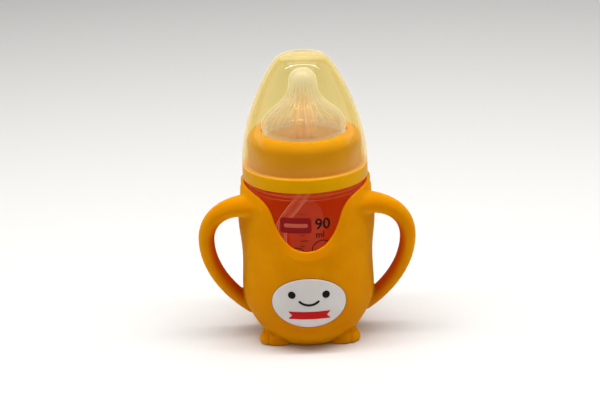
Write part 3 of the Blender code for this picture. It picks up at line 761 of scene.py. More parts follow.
def make_bottle():
    inner_radius = BOTTLE_RADIUS - GLASS_WALL
    inner_bottom = BOTTLE_BOTTOM + GLASS_WALL
    inner = [(0.0, inner_bottom)] + egg(inner_radius, BORE_EGG_DROP, inner_bottom, 24)[::-1]
    inner += bezier(
        (inner_radius, SHOULDER_START),
        (inner_radius, SHOULDER_START + 5 * MM),
        (NECK_BORE, BEAD_HIGH - 4 * MM),
        (NECK_BORE, BEAD_HIGH + 1 * MM),
        16,
    )
    rim = [(NECK_BORE, RIM_HEIGHT), (NECK_RADIUS, RIM_HEIGHT), (NECK_RADIUS, BEAD_HIGH + 0.8 * MM)]
    groove = BEAD_RADIUS - 0.7 * MM
    bead = [(BEAD_RADIUS, BEAD_HIGH), (BEAD_RADIUS, BEAD_LOW + 0.6 * MM), (groove - 0.2 * MM, BEAD_LOW)]
    shoulder = bezier(
        (groove, BEAD_LOW - 0.4 * MM),
        (BOTTLE_RADIUS - 0.4 * MM, BEAD_LOW - 2.0 * MM),
        (BOTTLE_RADIUS, SHOULDER_START + 3 * MM),
        (BOTTLE_RADIUS, SHOULDER_START),
        16,
    )
    outer = egg(BOTTLE_RADIUS, BORE_EGG_DROP, BOTTLE_BOTTOM, 24) + [(0.0, BOTTLE_BOTTOM)]
    profile = fillet(inner + rim + bead + shoulder + outer, 0.8 * MM)
    profile = refine(profile, 0.2 * MM, BEAD_HIGH, RIM_HEIGHT)

    def thread(radius, angle, height):
        on_neck = np.abs(radius - NECK_RADIUS) < 0.01 * MM
        return radius + np.where(on_neck, RIDGE_HEIGHT * ridge(angle, height, THREAD_START), 0.0)

    return turned("bottle_glass", profile, reshape=thread)


def make_collar():
    corner = (UPPER_RADIUS - SHOULDER_ROUND, COLLAR_TOP - SHOULDER_ROUND)
    roof = [(COLLAR_HOLE, COLLAR_TOP)] + arc(corner, SHOULDER_ROUND, 90, 0, 16)
    ledge = [(UPPER_RADIUS, LEDGE_HEIGHT), (BAND_RADIUS, LEDGE_HEIGHT)]
    skirt = [(BAND_RADIUS, COLLAR_BOTTOM), (BAND_BORE, COLLAR_BOTTOM), (BAND_BORE, LEDGE_HEIGHT - 2.5 * MM)]
    inner_corner = (corner[0], COLLAR_TOP - COLLAR_ROOF - 3.4 * MM)
    ceiling = arc(inner_corner, THREAD_BORE - corner[0], 0, 90, 12)
    bore = [(THREAD_BORE, LEDGE_HEIGHT - 1.0 * MM)] + ceiling + [(COLLAR_HOLE, COLLAR_TOP - COLLAR_ROOF)]
    profile = fillet(roof + ledge + skirt + bore, 0.45 * MM, closed=True)
    profile = refine(profile, 0.2 * MM, LEDGE_HEIGHT - 1.5 * MM, COLLAR_TOP)

    def thread(radius, angle, height):
        on_bore = np.abs(radius - THREAD_BORE) < 0.01 * MM
        start = THREAD_START - PITCH / 2
        return radius - np.where(on_bore, RIDGE_HEIGHT * ridge(angle, height, start), 0.0)

    return turned("collar_ring", profile, reshape=thread)


def teat_side(offset):
    """The teat's S-shaped flare from stem to throat, moved inwards by offset."""
    return bezier(
        (TEAT_STEM - offset, TEAT_STEM_TOP),
        (TEAT_STEM - offset + 0.4 * MM, TEAT_WAIST),
        (TEAT_BULGE - offset - 0.6 * MM, TEAT_BELLY - offset / 2),
        (TEAT_BULGE - offset, COLLAR_TOP + 2.0 * MM),
        56,
    )


def teat_tip(offset):
    """The rounded tip, from its hole to the top of the stem."""
    rise = TEAT_HIGH.z - TEAT_STEM_TOP - offset
    radius = TEAT_STEM - offset
    dome = [(radius * math.cos(a), TEAT_STEM_TOP + rise * math.sin(a)) for a in steps(84, 0, 16)]
    return [(TEAT_HOLE, dome[0][1])] + dome


def make_teat():
    throat = [(TEAT_THROAT, COLLAR_TOP + 0.3 * MM), (TEAT_THROAT, FLANGE_HIGH)]
    flange = [(CLAMP_RADIUS, FLANGE_HIGH), (CLAMP_RADIUS, FLANGE_LOW), (TEAT_BULGE - TEAT_WALL, FLANGE_LOW)]
    outer = teat_tip(0.0)[:-1] + teat_side(0.0)
    inner = teat_side(TEAT_WALL)[::-1] + teat_tip(TEAT_WALL)[:-1][::-1]
    profile = fillet(outer + throat + flange + inner, 0.35 * MM, closed=True)
    outer_radius = np.array([point[0] for point in outer])
    outer_height = np.array([point[1] for point in outer])

    def ribs(radius, angle, height):
        """Fine ribs run down the inside of the flare, and show faintly outside."""
        on_flare = smooth_step(height, *RIBS_BEGIN) * (1 - smooth_step(height, *RIBS_END))
        wall_middle = np.interp(-height, -outer_height, outer_radius) - TEAT_WALL / 2
        wave = 0.5 + 0.5 * np.cos(angle * TEAT_RIBS)
        depth = np.where(radius < wall_middle, RIB_DEPTH_INSIDE, RIB_DEPTH_OUTSIDE)
        return radius - depth * on_flare * wave**2

    return turned("teat_silicone", profile, 10 * TEAT_RIBS, reshape=ribs)


def make_connector():
    disc_top = DISC_LOW + CONNECTOR_DISC
    column_bore = COLUMN_RADIUS - CONNECTOR_WALL
    column_roof = COLUMN_TOP - CONNECTOR_WALL
    profile = [
        (STUB_RADIUS, CONNECTOR_HIGH.z),
        (STUB_RADIUS, COLUMN_TOP + CONNECTOR_WALL),
        (COLUMN_RADIUS, COLUMN_TOP),
        (COLUMN_RADIUS, disc_top),
        (CLAMP_RADIUS, disc_top),
        (CLAMP_RADIUS, DISC_LOW),
        (column_bore, DISC_LOW),
        (column_bore, column_roof),
        (NIPPLE_RADIUS, column_roof),
        (NIPPLE_RADIUS, CONNECTOR_LOW.z),
        (NIPPLE_BORE, CONNECTOR_LOW.z),
        (NIPPLE_BORE, CONNECTOR_HIGH.z),
    ]
    obj = turned("connector_disc", fillet(profile, 0.4 * MM, closed=True))
    above = disc_top + 3 * MM
    below = DISC_LOW - 3 * MM
    rod = [(0.0, above), (VENT_RADIUS, above), (VENT_RADIUS, below), (0.0, below)]
    drill = turned("vent_drill", rod, 24)
    drill.data.transform(Matrix.Translation((VENT_PLACE, 0.0, 0.0)))
    return shade(cut(obj, drill))


# ---- straw, weight and cap


def make_hose():
    """Straight down the axis, over in a smooth bend to the weight's own axis, and straight down."""
    points = []
    for part in np.linspace(0.0, 1.0, HOSE_STEPS):
        height = HOSE_HIGH.z + (HOSE_LOW.z - HOSE_HIGH.z) * part
        sideways = 1 - float(smooth_step(height, BEND_LOW, BEND_TOP))
        points.append(WEIGHT_AXIS * sideways + Vector((0.0, 0.0, height)))
    return hose("straw_hose", points, HOSE_RADIUS, HOSE_BORE)


def weight_piece(name, profile, rounding=0.25 * MM):
    """A ring turned about the weight's own axis."""
    obj = turned(name, fillet(profile, rounding, closed=True), 72)
    obj.data.transform(Matrix.Translation(WEIGHT_AXIS))
    return obj


def shell_arc(radius, height, start, end):
    """Points of an oval shell about the split between the weight's two halves."""
    return [(radius * math.sin(a), WEIGHT_SPLIT + height * math.cos(a)) for a in steps(start, end, 16)]


def make_upper_shell():
    dome = WEIGHT_TOP - WEIGHT_SPLIT
    barb_top = WEIGHT_TOP + BARB_LENGTH
    profile = [(NIPPLE_RADIUS, barb_top), (NIPPLE_RADIUS, WEIGHT_TOP)]
    profile += shell_arc(WEIGHT_RADIUS, dome, 25, 90)
    profile += shell_arc(WEIGHT_RADIUS - WEIGHT_WALL, dome - WEIGHT_WALL, 90, 20)
    profile += [(NIPPLE_BORE, WEIGHT_TOP - WEIGHT_WALL), (NIPPLE_BORE, barb_top)]
    return weight_piece("weight_upper_half", profile)


def make_lower_shell():
    bowl = SHELL_HIGH.z - WEIGHT_BOTTOM
    drop = Vector((0.0, SHELL_HIGH.z - WEIGHT_SPLIT))
    outer = shell_arc(WEIGHT_RADIUS, -bowl, 90, 12)
    inner = shell_arc(WEIGHT_RADIUS - WEIGHT_WALL, WEIGHT_WALL - bowl, 14, 90)
    profile = [tuple(Vector(point) + drop) for point in outer + inner]
    return weight_piece("weight_lower_half", profile)


def make_core():
    low, high = CORE_LOW.z, CORE_HIGH.z
    profile = [(CORE_RADIUS, high), (CORE_RADIUS, low), (CORE_BORE, low), (CORE_BORE, high)]
    return weight_piece("weight_steel_ring", profile, 0.4 * MM)


def cap_side(wall):
    """The cap's outline from its flat top over the shoulder and down to its rim, moved inwards by wall."""
    top = Vector((CAP_FLAT_RADIUS, CAP_TOP - wall))
    shoulder = Vector((CAP_SHOULDER[0] - 0.9 * wall, CAP_SHOULDER[1] - 0.5 * wall))
    slope = Vector((-0.6, 1.0))
    low = Vector((CAP_RADIUS - wall, CAP_LOW.z))
    crown = sweep(top, (4.3 * MM, -0.3 * MM), slope * (4 * MM), shoulder, 18)
    flank = sweep(shoulder, slope * (-15 * MM), (-0.1 * MM, 15 * MM), low, 44)
    return crown + flank[1:]


def make_cap():
    """A dome with a shallow dish in its flat top and the gate's small mark in the dish."""
    mark = [(0.0, CAP_TOP - 0.12 * MM), (0.7 * MM, CAP_TOP - 0.12 * MM), (0.9 * MM, CAP_TOP - CAP_DISH)]
    dish = mark + [(CAP_FLAT_RADIUS - 1.6 * MM, CAP_TOP - CAP_DISH), (CAP_FLAT_RADIUS - 1.0 * MM, CAP_TOP)]
    profile = dish + cap_side(0.0) + cap_side(CAP_WALL)[::-1] + [(0.0, CAP_TOP - CAP_WALL)]
    return turned("dust_cap_dome", fillet(profile, 0.4 * MM), 192)


# ---- print on the glass


def glass_front(x, z, offset):
    radius = BOTTLE_RADIUS + offset
    return (x, -math.sqrt(radius * radius - x * x), z)


def glass_back(x, z, offset):
    _, y, _ = glass_front(x, z, offset)
    return (x, -y, z)


def ink(name, outlines, lift=0.0, place=glass_front):
    return plate(name, outlines, place, INK_FACE + lift, INK_BACK + lift, 0.02 * MM, 1.0 * MM)


def rounded_box(left, right, low, high, radius):
    corners = [(left, low), (right, low), (right, high), (left, high)]
    return fillet(corners, radius, closed=True, count=8)


def scale_words(name, words, centre, height, boldness):
    """Scale lettering as thin solid ink wrapped on the glass."""
    curve = bpy.data.curves.new(name, "FONT")
    curve.body = words
    curve.size = height / MM
    curve.align_x = "CENTER"
    curve.align_y = "CENTER"
    curve.extrude = 1.0
    curve.offset = boldness / MM
    curve.resolution_u = 5
    text = link(f"{name}_curve", curve)
    depsgraph = bpy.context.evaluated_depsgraph_get()
    mesh = bpy.data.meshes.new_from_object(text.evaluated_get(depsgraph))
    bpy.data.objects.remove(text)
    shape = bmesh.new()
    shape.from_mesh(mesh)
    bmesh.ops.remove_doubles(shape, verts=shape.verts, dist=0.001)
    for vertex in shape.verts:
        offset = INK_FACE if vertex.co.z > 0 else INK_BACK
        vertex.co = glass_front(centre[0] + vertex.co.x * MM, centre[1] + vertex.co.y * MM, offset)
    bmesh.ops.recalc_face_normals(shape, faces=shape.faces)
    shape.to_mesh(mesh)
    shape.free()
    return link(name, mesh)


def make_label():
    label = ink("print_label", [rounded_box(*LABEL_ACROSS, *LABEL_HEIGHTS, 1.4 * MM)])
    across = [x - math.copysign(STRIPE_MARGIN[0], x) for x in LABEL_ACROSS]
    heights = [LABEL_HEIGHTS[0] + STRIPE_MARGIN[1], LABEL_HEIGHTS[1] - STRIPE_MARGIN[1]]
    return label, ink("print_label_stripe", [rounded_box(*across, *heights, 0.8 * MM)], lift=INK_FACE)


def make_marks():
    """A capacity and two bubbles in the window."""
    marks = [scale_words(*words) for words in WORDS]
    for name, centre, radius in BUBBLES:
        rings = [ellipse(centre, radius - line, radius - line, 72) for line in (0.0, BUBBLE_LINE)]
        marks.append(ink(name, rings))
    return marks


def make_scale():
    """A hazy arch on the back of the glass, painted reflection that shows in the window, with the scale's
    printed ticks up its middle.
    """
    half = SCALE_WIDTH / 2
    arch = arc((0.0, SCALE_TOP - half), half, 0, 180, 24)
    foot = arc((0.0, SCALE_LOW + half), half, 180, 360, 24)
    panel = ink("scale_arch_painted_reflection", [arch + foot], place=glass_back)
    ticks = []
    for step in range(SCALE_TICKS):
        height = FIRST_TICK + SCALE_STEP * step
        right = TICK_LEFT + TICK_LENGTHS[step % 2]
        tick = rounded_box(TICK_LEFT, right, height, height + TICK_WIDTH, 0.1 * MM)
        ticks.append(ink(f"print_tick_{step + 1}", [tick], lift=INK_FACE, place=glass_back))
    return panel, ticks


# ---- materials


def linear(red, green, blue):
    """A screen colour, 0 to 255 a channel, as the linear values that shaders take."""
    shares = [channel / 255 for channel in (red, green, blue)]
    return (*[s / 12.92 if s <= 0.04045 else ((s + 0.055) / 1.055) ** 2.4 for s in shares], 1.0)


class Recipe:
    """A material's node tree, with short ways to add the nodes that the materials share."""

    def __init__(self, name):
        self.material = bpy.data.materials.new(name)
        self.material.use_nodes = True
        self.tree = self.material.node_tree
        self.tree.nodes.clear()
        self.place = self.node("TexCoord", output="Object")

    def node(self, kind, inputs=None, output=0, **settings):
        """Adds a node and gives one of its outputs; an input is a value or another node's output."""
        made = self.tree.nodes.new(f"ShaderNode{kind}")
        for key, value in settings.items():
            setattr(made, key, value)
        for key, value in (inputs or {}).items():
            if isinstance(value, bpy.types.NodeSocket):
                self.tree.links.new(value, made.inputs[key])
            else:
                made.inputs[key].default_value = value
        return made.outputs[output]

    def noise(self, size, detail=3.0, stretch=(1.0, 1.0, 1.0)):
        """Noise whose features are about size across, drawn out along an axis by a stretch above 1."""
        scale = [1 / (size * factor) for factor in stretch]
        place = self.node("Mapping", {"Vector": self.place, "Scale": scale})
        return self.node("TexNoise", {"Vector": place, "Scale": 1.0, "Detail": detail})

    def remap(self, value, low, high, new_low, new_high):
        inputs = {"Value": value, "From Min": low, "From Max": high, "To Min": new_low, "To Max": new_high}
        return self.node("MapRange", inputs)

    def calculate(self, operation, first, second):
        return self.node("Math", {0: first, 1: second}, operation=operation)

    def plus(self, first, second):
        return self.calculate("ADD", first, second)

    def times(self, first, second):
        return self.calculate("MULTIPLY", first, second)

    def blend(self, factor, first, second):
        return self.node("Mix", {"Factor": factor, 6: first, 7: second}, 2, data_type="RGBA")

    def mix(self, factor, first, second):
        return self.node("MixShader", {0: factor, 1: first, 2: second})

    def bump(self, height, depth, below=None):
        inputs = {"Height": height, "Distance": depth}
        if below:
            inputs["Normal"] = below
        return self.node("Bump", inputs)

    def wear(self):
        """High along convex edges, where handling polishes and lightens a surface."""
        return self.remap(self.node("NewGeometry", output="Pointiness"), 0.51, 0.60, 0.0, 1.0)

    def by_height(self, low, high, below, above):
        """One value under a height and another over a height, in the piece's own axes."""
        return self.remap(self.node("SeparateXYZ", {0: self.place}, "Z"), low, high, below, above)

    def round_waves(self, count):
        """Thin lines down a round piece, evenly spread about its axis."""
        x, y = (self.node("SeparateXYZ", {0: self.place}, axis) for axis in "XY")
        wave = self.calculate("SINE", self.times(self.calculate("ARCTAN2", y, x), float(count)), 0.0)
        return self.calculate("POWER", self.remap(wave, -1.0, 1.0, 0.0, 1.0), 7.0)

    def from_axis(self, operation="LENGTH", output="Value"):
        """The distance from the Z axis, or with NORMALIZE the direction straight away from it."""
        flat = self.node("VectorMath", {0: self.place, 1: (1.0, 1.0, 0.0)}, operation="MULTIPLY")
        return self.node("VectorMath", {0: flat}, output, operation=operation)

    def outwards(self):
        """1 where the surface looks straight away from the Z axis and -1 where it looks towards it."""
        inputs = {0: self.from_axis("NORMALIZE", 0), 1: self.node("NewGeometry", output="Normal")}
        return self.node("VectorMath", inputs, "Value", operation="DOT_PRODUCT")

    def inwards(self):
        """1 where the surface looks towards the Z axis and 0 where it looks away or up."""
        return self.remap(self.outwards(), 0.1, -0.8, 0.0, 1.0)

    def slant(self, power):
        """0 where the surface faces the eye, rising to 1 where it is seen edge on."""
        return self.calculate("POWER", self.node("LayerWeight", {"Blend": 0.5}, "Facing"), power)

    def finish(self, shader):
        output = self.tree.nodes.new("ShaderNodeOutputMaterial")
        self.tree.links.new(shader, output.inputs["Surface"])
        return self.material

    def principled(self, inputs):
        return self.finish(self.node("BsdfPrincipled", inputs))


# The sleeve's inside shines a little with the light that comes through its wall.
WALL_LIGHT = linear(255, 74, 3)
WALL_LIGHT_STRENGTH = 0.12


def moulded(
    name, colour, lighter, roughness=0.42, grain=0.3 * MM, depth=0.006 * MM, specular=0.12,
    scatter=None, tint=(1.0, 1.0, 1.0, 1.0), inside=None, rim=None, deeper=None, glow=None,
):
    """An opaque moulded material: cloudy colour, fine grain, and edges a little lighter and smoother.

    inside is painted shade: surfaces that look inwards take a darker, redder colour, as if shaded and lit
    by light bounced between the walls. rim is painted shade on a plate's thin sides, the dark red of the
    shaded gap around it. deeper is painted shade that darkens the lower body, where less light falls from
    above, and is weaker over the feet. Inside surfaces nearer the axis than glow shine in the wall's light.
    """
    recipe = Recipe(name)
    clouds = recipe.noise(14 * MM, 4.0)
    specks = recipe.remap(recipe.noise(grain * 2, 2.0), 0.62, 0.75, 0.0, 0.35)
    share = recipe.plus(recipe.remap(clouds, 0.35, 0.65, 0.0, 0.45), specks)
    share = recipe.plus(share, recipe.times(recipe.wear(), 0.4))
    base = recipe.blend(share, colour, lighter)
    # Painted shade: the lower body darker and redder, weaker over the feet.
    if deeper:
        low = recipe.by_height(8 * MM, 45 * MM, 0.5, 0.0)
        above_feet = recipe.by_height(5 * MM, 12 * MM, 0.2, 1.0)
        base = recipe.blend(recipe.times(low, above_feet), base, deeper)
    # Painted shade: surfaces that look inwards turn darker and redder, as if shaded and lit by light
    # bounced between the walls.
    if inside:
        base = recipe.blend(recipe.times(recipe.inwards(), 0.85), base, inside)
    # Painted shade: a plate's thin sides take the dark red of the shaded gap around it.
    if rim:
        base = recipe.blend(recipe.remap(recipe.outwards(), 0.93, 0.6, 0.0, 1.0), base, rim)
    fine = recipe.noise(grain, 3.0)
    inputs = {
        "Base Color": base,
        "Roughness": recipe.remap(fine, 0.3, 0.7, roughness - 0.06, roughness + 0.06),
        "Normal": recipe.bump(fine, depth, recipe.bump(recipe.noise(9 * MM, 1.0), 4 * depth)),
        "Specular IOR Level": specular,
        "Specular Tint": tint,
    }
    if glow:
        near_axis = recipe.remap(recipe.from_axis(), glow, glow - 0.5 * MM, 0.0, WALL_LIGHT_STRENGTH)
        strength = recipe.times(near_axis, recipe.inwards())
        inputs.update({"Emission Color": WALL_LIGHT, "Emission Strength": strength})
    if scatter:
        weight, radius, scale = scatter
        inputs.update({"Subsurface Weight": weight, "Subsurface Radius": radius, "Subsurface Scale": scale})
    return recipe.principled(inputs)


def sleeve_silicone():
    return moulded(
        "sleeve_silicone",
        linear(214, 138, 2),
        linear(224, 152, 4),
        roughness=0.55,
        grain=0.35 * MM,
        depth=0.012 * MM,
        specular=0.02,
        scatter=(0.8, (1.0, 0.28, 0.04), 2.2 * MM),
        tint=linear(255, 190, 40),
        # Painted shade on the surfaces that look inwards.
        inside=linear(205, 62, 2),
        # Painted shade on the lower body.
        deeper=linear(176, 84, 1),
        glow=BORE_RADIUS + 0.6 * MM,
    )


def collar_plastic():
    return moulded(
        "collar_plastic",
        linear(215, 153, 2),
        linear(225, 166, 4),
        roughness=0.4,
        grain=0.5 * MM,
        depth=0.004 * MM,
        specular=0.08,
        scatter=(0.35, (1.0, 0.35, 0.05), 1.2 * MM),
        tint=linear(255, 200, 70),
        # Painted shade on the surfaces that look inwards.
        inside=linear(196, 80, 2),
    )


def badge_silicone():
    return moulded(
        "badge_silicone",
        linear(208, 203, 200),
        linear(220, 215, 212),
        roughness=0.5,
        specular=0.2,
        scatter=(0.25, (1.0, 0.8, 0.7), 0.8 * MM),
        # Painted shade of the gap around the badge.
        rim=linear(170, 44, 8),
    )


def black_silicone():
    return moulded("black_silicone", linear(9, 8, 8), linear(18, 17, 16))


def red_silicone():
    return moulded("red_silicone", linear(184, 3, 9), linear(198, 14, 16))


# What a shadow ray meets of a clear wall's haze and tint, and the most that such a wall reflects.
SHADOW_HAZE = 0.3
SHADOW_TINT = (1.0, 0.99, 0.95, 1.0)
MIRROR_LIMIT = 0.08


def see_through(
    name, tint, milk, edge_milk, haze, within, roughness,
    ripple=0.002 * MM, marks=None, edge_power=3.0, gloss=1.0,
):
    """Thin clear or milky plastic: light goes straight through it, some of it is scattered, and its
    outside reflects.

    milk is the colour of the scattered light, and edge_milk that where the wall is seen edge on. haze is
    the share that is scattered and within the light that comes back after many turns inside the wall,
    each given face on and edge on. marks adds haze of its own. Light on its way to what lies behind
    loses little, because what the wall scatters mostly goes on.
    """
    recipe = Recipe(name)
    slant = recipe.slant(edge_power)
    milk = recipe.blend(slant, milk, edge_milk)
    flow = recipe.noise(7 * MM, 3.0, (1.0, 1.0, 3.0))
    face_haze, edge_haze = haze
    cloud = recipe.remap(flow, 0.3, 0.7, face_haze * 0.7, face_haze * 1.3)
    cloud = recipe.plus(recipe.times(slant, edge_haze), cloud)
    if marks:
        cloud = recipe.plus(cloud, marks(recipe))
    shadow = recipe.node("LightPath", output="Is Shadow Ray")
    cloud = recipe.times(cloud, recipe.remap(shadow, 0.0, 1.0, 1.0, SHADOW_HAZE))
    tint = recipe.blend(shadow, tint, SHADOW_TINT)
    normal = recipe.bump(recipe.noise(0.6 * MM, 2.0), ripple, recipe.bump(flow, ripple * 8))
    milky = {"Color": milk, "Normal": normal}
    scattered = recipe.mix(0.5, recipe.node("BsdfDiffuse", milky), recipe.node("BsdfTranslucent", milky))
    glow = recipe.node("Emission", {"Color": milk, "Strength": recipe.remap(slant, 0.0, 1.0, *within)})
    scattered = recipe.node("AddShader", {0: scattered, 1: glow})
    body = recipe.mix(cloud, recipe.node("BsdfTransparent", {"Color": tint}), scattered)
    fresnel = recipe.node("Fresnel", {"IOR": 1.45, "Normal": normal})
    outside = recipe.calculate("SUBTRACT", 1.0, recipe.node("NewGeometry", output="Backfacing"))
    shine = recipe.times(recipe.remap(fresnel, 0.025, 1.0, 0.0, gloss), outside)
    shine = recipe.calculate("MINIMUM", shine, MIRROR_LIMIT)
    rough = recipe.remap(flow, 0.3, 0.7, roughness * 0.8, roughness * 1.2)
    mirror = recipe.node("BsdfGlossy", {"Roughness": rough, "Normal": normal})
    return recipe.finish(recipe.mix(shine, body, mirror))


def milky_plastic():
    def rim(recipe):
        """The cut edge at the foot of the cap gathers light."""
        return recipe.by_height(CAP_LOW.z + 0.3 * MM, CAP_LOW.z + 0.7 * MM, 0.12, 0.0)

    return see_through(
        "milky_plastic",
        tint=(0.975, 0.94, 0.75, 1.0),
        milk=linear(240, 206, 70),
        # Painted reflection: the cap turns near white and glows more where it is seen edge on; its yellow
        # milky haze face on is its own.
        edge_milk=linear(242, 243, 240),
        haze=(0.035, 0.6),
        within=(0.08, 0.4),
        roughness=0.07,
        marks=rim,
        gloss=2.4,
    )


def teat_silicone():
    def ribs(recipe):
        """Fine ribs down the stem and flare, the foot of the flare, and the tip scatter more light."""
        wave = recipe.round_waves(TEAT_RIBS)
        low = recipe.by_height(COLLAR_TOP + 1 * MM, COLLAR_TOP + 14 * MM, 0.15, 1.0)
        high = recipe.by_height(TEAT_STEM_TOP - 6 * MM, TEAT_STEM_TOP, 1.0, 0.1)
        lines = recipe.times(recipe.times(wave, low), high)
        foot = recipe.by_height(COLLAR_TOP + 0.2 * MM, COLLAR_TOP + 1.4 * MM, 0.35, 0.0)
        tip = recipe.by_height(TEAT_STEM_TOP - 7 * MM, TEAT_STEM_TOP + 2 * MM, 0.0, 0.35)
        return recipe.plus(recipe.times(lines, 0.2), recipe.plus(foot, tip))

    return see_through(
        "teat_silicone",
        tint=(0.985, 0.955, 0.91, 1.0),
        milk=linear(228, 230, 236),
        edge_milk=linear(238, 240, 244),
        haze=(0.19, 0.45),
        within=(0.11, 0.5),
        roughness=0.09,
        marks=ribs,
        gloss=1.6,
    )


def hose_silicone():
    return see_through(
        "hose_silicone",
        tint=(0.985, 0.975, 0.965, 1.0),
        # Painted highlight: the peach haze and strong glow where the hose is seen edge on draw its bright
        # outline; its body stays clear.
        milk=linear(244, 180, 140),
        edge_milk=linear(255, 206, 168),
        haze=(0.02, 0.95),
        within=(0.2, 1.2),
        roughness=0.1,
        edge_power=3.5,
    )


def clear_plastic():
    return see_through(
        "clear_plastic",
        tint=(0.975, 0.935, 0.86, 1.0),
        milk=linear(234, 180, 110),
        edge_milk=linear(250, 220, 170),
        haze=(0.1, 0.5),
        within=(0.25, 0.25),
        roughness=0.09,
    )


def bottle_glass():
    def bead(recipe):
        """The bead's two edges catch the light all the way round."""
        edges = []
        for height in (BEAD_LOW, BEAD_HIGH):
            rise = recipe.by_height(height - 0.45 * MM, height - 0.1 * MM, 0.0, 0.45)
            fall = recipe.by_height(height + 0.1 * MM, height + 0.45 * MM, 1.0, 0.0)
            edges.append(recipe.times(rise, fall))
        return recipe.plus(*edges)

    return see_through(
        "bottle_glass",
        tint=(0.99, 0.99, 0.985, 1.0),
        # Painted reflection: the pinkish haze and glow where the glass is seen edge on and along its bead
        # stand in for the light the glass reflects.
        milk=linear(240, 136, 84),
        edge_milk=linear(250, 180, 140),
        haze=(0.012, 0.3),
        within=(0.1, 0.1),
        roughness=0.04,
        ripple=0.001 * MM,
        marks=bead,
        gloss=0.35,
    )


# Painted reflection: a pale, faintly glowing haze for the arch on the back of the glass.
def painted_reflection_haze():
    milk = linear(238, 170, 140)
    tint = (1.0, 0.98, 0.96, 1.0)
    return see_through("painted_reflection_haze", tint, milk, milk, (0.12, 0.3), (0.12, 0.12), 0.4, ripple=0.004 * MM)


def steel():
    """Turned steel with fine lathe lines."""
    recipe = Recipe("turned_steel")
    lines = recipe.noise(0.12 * MM, 2.0, (40.0, 40.0, 1.0))
    inputs = {
        "Base Color": recipe.blend(lines, (0.52, 0.51, 0.50, 1.0), (0.66, 0.65, 0.63, 1.0)),
        "Metallic": 1.0,
        "Roughness": recipe.remap(lines, 0.3, 0.7, 0.2, 0.34),
        "Normal": recipe.bump(lines, 0.003 * MM),
    }
    return recipe.principled(inputs)


def ink_material(name, colour, worn):
    """Screen-printed ink, a little uneven and thin in places."""
    recipe = Recipe(name)
    coverage = recipe.noise(0.5 * MM, 4.0)
    inputs = {
        "Base Color": recipe.blend(recipe.remap(coverage, 0.45, 0.75, 0.0, 1.0), colour, worn),
        "Roughness": recipe.remap(coverage, 0.3, 0.7, 0.35, 0.5),
        "Normal": recipe.bump(coverage, 0.004 * MM),
        "Specular IOR Level": 0.1,
    }
    return recipe.principled(inputs)


def floor_paper():
    recipe = Recipe("floor_paper")
    fibre = recipe.noise(1.5 * MM, 3.0)
    inputs = {
        "Base Color": recipe.blend(fibre, (0.78, 0.77, 0.75, 1.0), (0.82, 0.81, 0.79, 1.0)),
        "Roughness": 0.8,
        "Normal": recipe.bump(fibre, 0.02 * MM),
        "Specular IOR Level": 0.2,
    }
    return recipe.principled(inputs)


# ---- stage, lights and camera


def make_floor():
    signs = ((-1, -1), (1, -1), (1, 1), (-1, 1))
    corners = [(x * FLOOR_HALF, y * FLOOR_HALF, 0.0) for x, y in signs]
    mesh = bpy.data.meshes.new("floor")
    mesh.from_pydata(corners, [], [(0, 1, 2, 3)])
    floor = link("floor", mesh)
    mesh.materials.append(floor_paper())


def make_softbox(name, place, width, height, power):
    light = bpy.data.lights.new(name, "AREA")
    light.shape = "RECTANGLE"
    light.size = width
    light.size_y = height
    light.energy = power
    obj = link(name, light)
    obj.location = place
    obj.rotation_euler = (LIGHTS_AIM - Vector(place)).to_track_quat("-Z", "Y").to_euler()


def make_world():
    world = bpy.data.worlds.new("studio")
    world.use_nodes = True
    background = world.node_tree.nodes["Background"]
    background.inputs["Color"].default_value = WORLD_COLOUR
    background.inputs["Strength"].default_value = WORLD_STRENGTH
    bpy.context.scene.world = world


def make_camera():
    camera = bpy.data.cameras.new("camera")
    camera.lens = VIEW_LENS
    camera.sensor_width = 36.0
    camera.shift_x = VIEW_SHIFT
    obj = link("camera", camera)
    tilt = Matrix.Rotation(math.pi / 2 - VIEW_TILT, 4, "X")
    lean = Matrix.Rotation(-VIEW_LEAN, 4, "Z")
    obj.matrix_world = Matrix.Translation((0.0, -VIEW_DISTANCE, VIEW_HEIGHT)) @ tilt @ lean
    bpy.context.scene.camera = obj


def set_display():
    """Plain screen colours, and enough see-through layers for a cap over a teat over a connector."""
    scene = bpy.context.scene
    scene.view_settings.view_transform = "Standard"
    scene.cycles.transparent_max_bounces = 32


# ---- the whole object


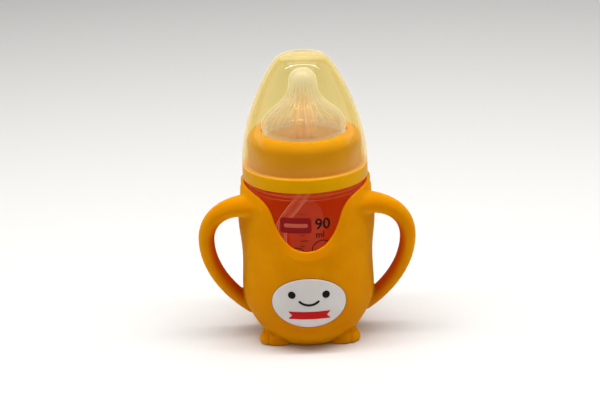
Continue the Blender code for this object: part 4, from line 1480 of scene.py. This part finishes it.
def dress(obj, material, body, slot, *nodes):
    """Gives a piece its material and its body, and hides the frame's nodes that it stands for; slot is not
    used.
    """
    obj.data.materials.clear()
    obj.data.materials.append(material)
    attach(obj, body)
    if nodes:
        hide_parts(*nodes)


def main():
    plastic = clear_plastic()
    black = black_silicone()
    dress(make_sleeve(), sleeve_silicone(), "sleeve", "orange_silicone", "sleeve")
    dress(make_badge(), badge_silicone(), "sleeve", "white_badge", "face_badge")
    for node in ("badge_eye_left", "badge_eye_right"):
        dress(make_eye(node), black, "sleeve", "black_inlay", node)
    dress(make_smile(), black, "sleeve", "black_inlay", "badge_smile")
    dress(make_ribbon(), red_silicone(), "sleeve", "red_inlay", "badge_ribbon")
    dress(make_bottle(), bottle_glass(), "bottle", "clear_glass", "glass_bottle")
    dress(make_collar(), collar_plastic(), "collar", "orange_plastic", "collar")
    dress(make_teat(), teat_silicone(), "teat", "clear_silicone", "teat")
    dress(make_connector(), plastic, "teat", "clear_plastic", "straw_connector")
    dress(make_hose(), hose_silicone(), "straw", "clear_silicone", "straw_tube")
    dress(make_upper_shell(), plastic, "straw", "clear_plastic", "weight_shell_upper")
    dress(make_lower_shell(), plastic, "straw", "clear_plastic", "weight_shell_lower")
    dress(make_core(), steel(), "straw", "steel", "weight_core")
    dress(make_cap(), milky_plastic(), "cap", "milky_plastic", "dust_cap")

    label, stripe = make_label()
    panel, ticks = make_scale()
    red_ink = ink_material("ink_red", linear(138, 10, 8), linear(116, 24, 26))
    dress(label, red_ink, "bottle", "red_inlay")
    pale_ink = ink_material("ink_pale", linear(200, 92, 70), linear(176, 64, 48))
    dress(stripe, pale_ink, "bottle", "white_badge")
    # The hazy arch is painted reflection.
    dress(panel, painted_reflection_haze(), "bottle", "white_badge")
    dark_ink = ink_material("ink_dark", linear(22, 8, 6), linear(40, 14, 10))
    for piece in make_marks() + ticks:
        dress(piece, dark_ink, "bottle", "black_inlay")

    make_floor()
    for softbox in SOFTBOXES:
        make_softbox(*softbox)
    make_world()
    make_camera()
    set_display()


main()
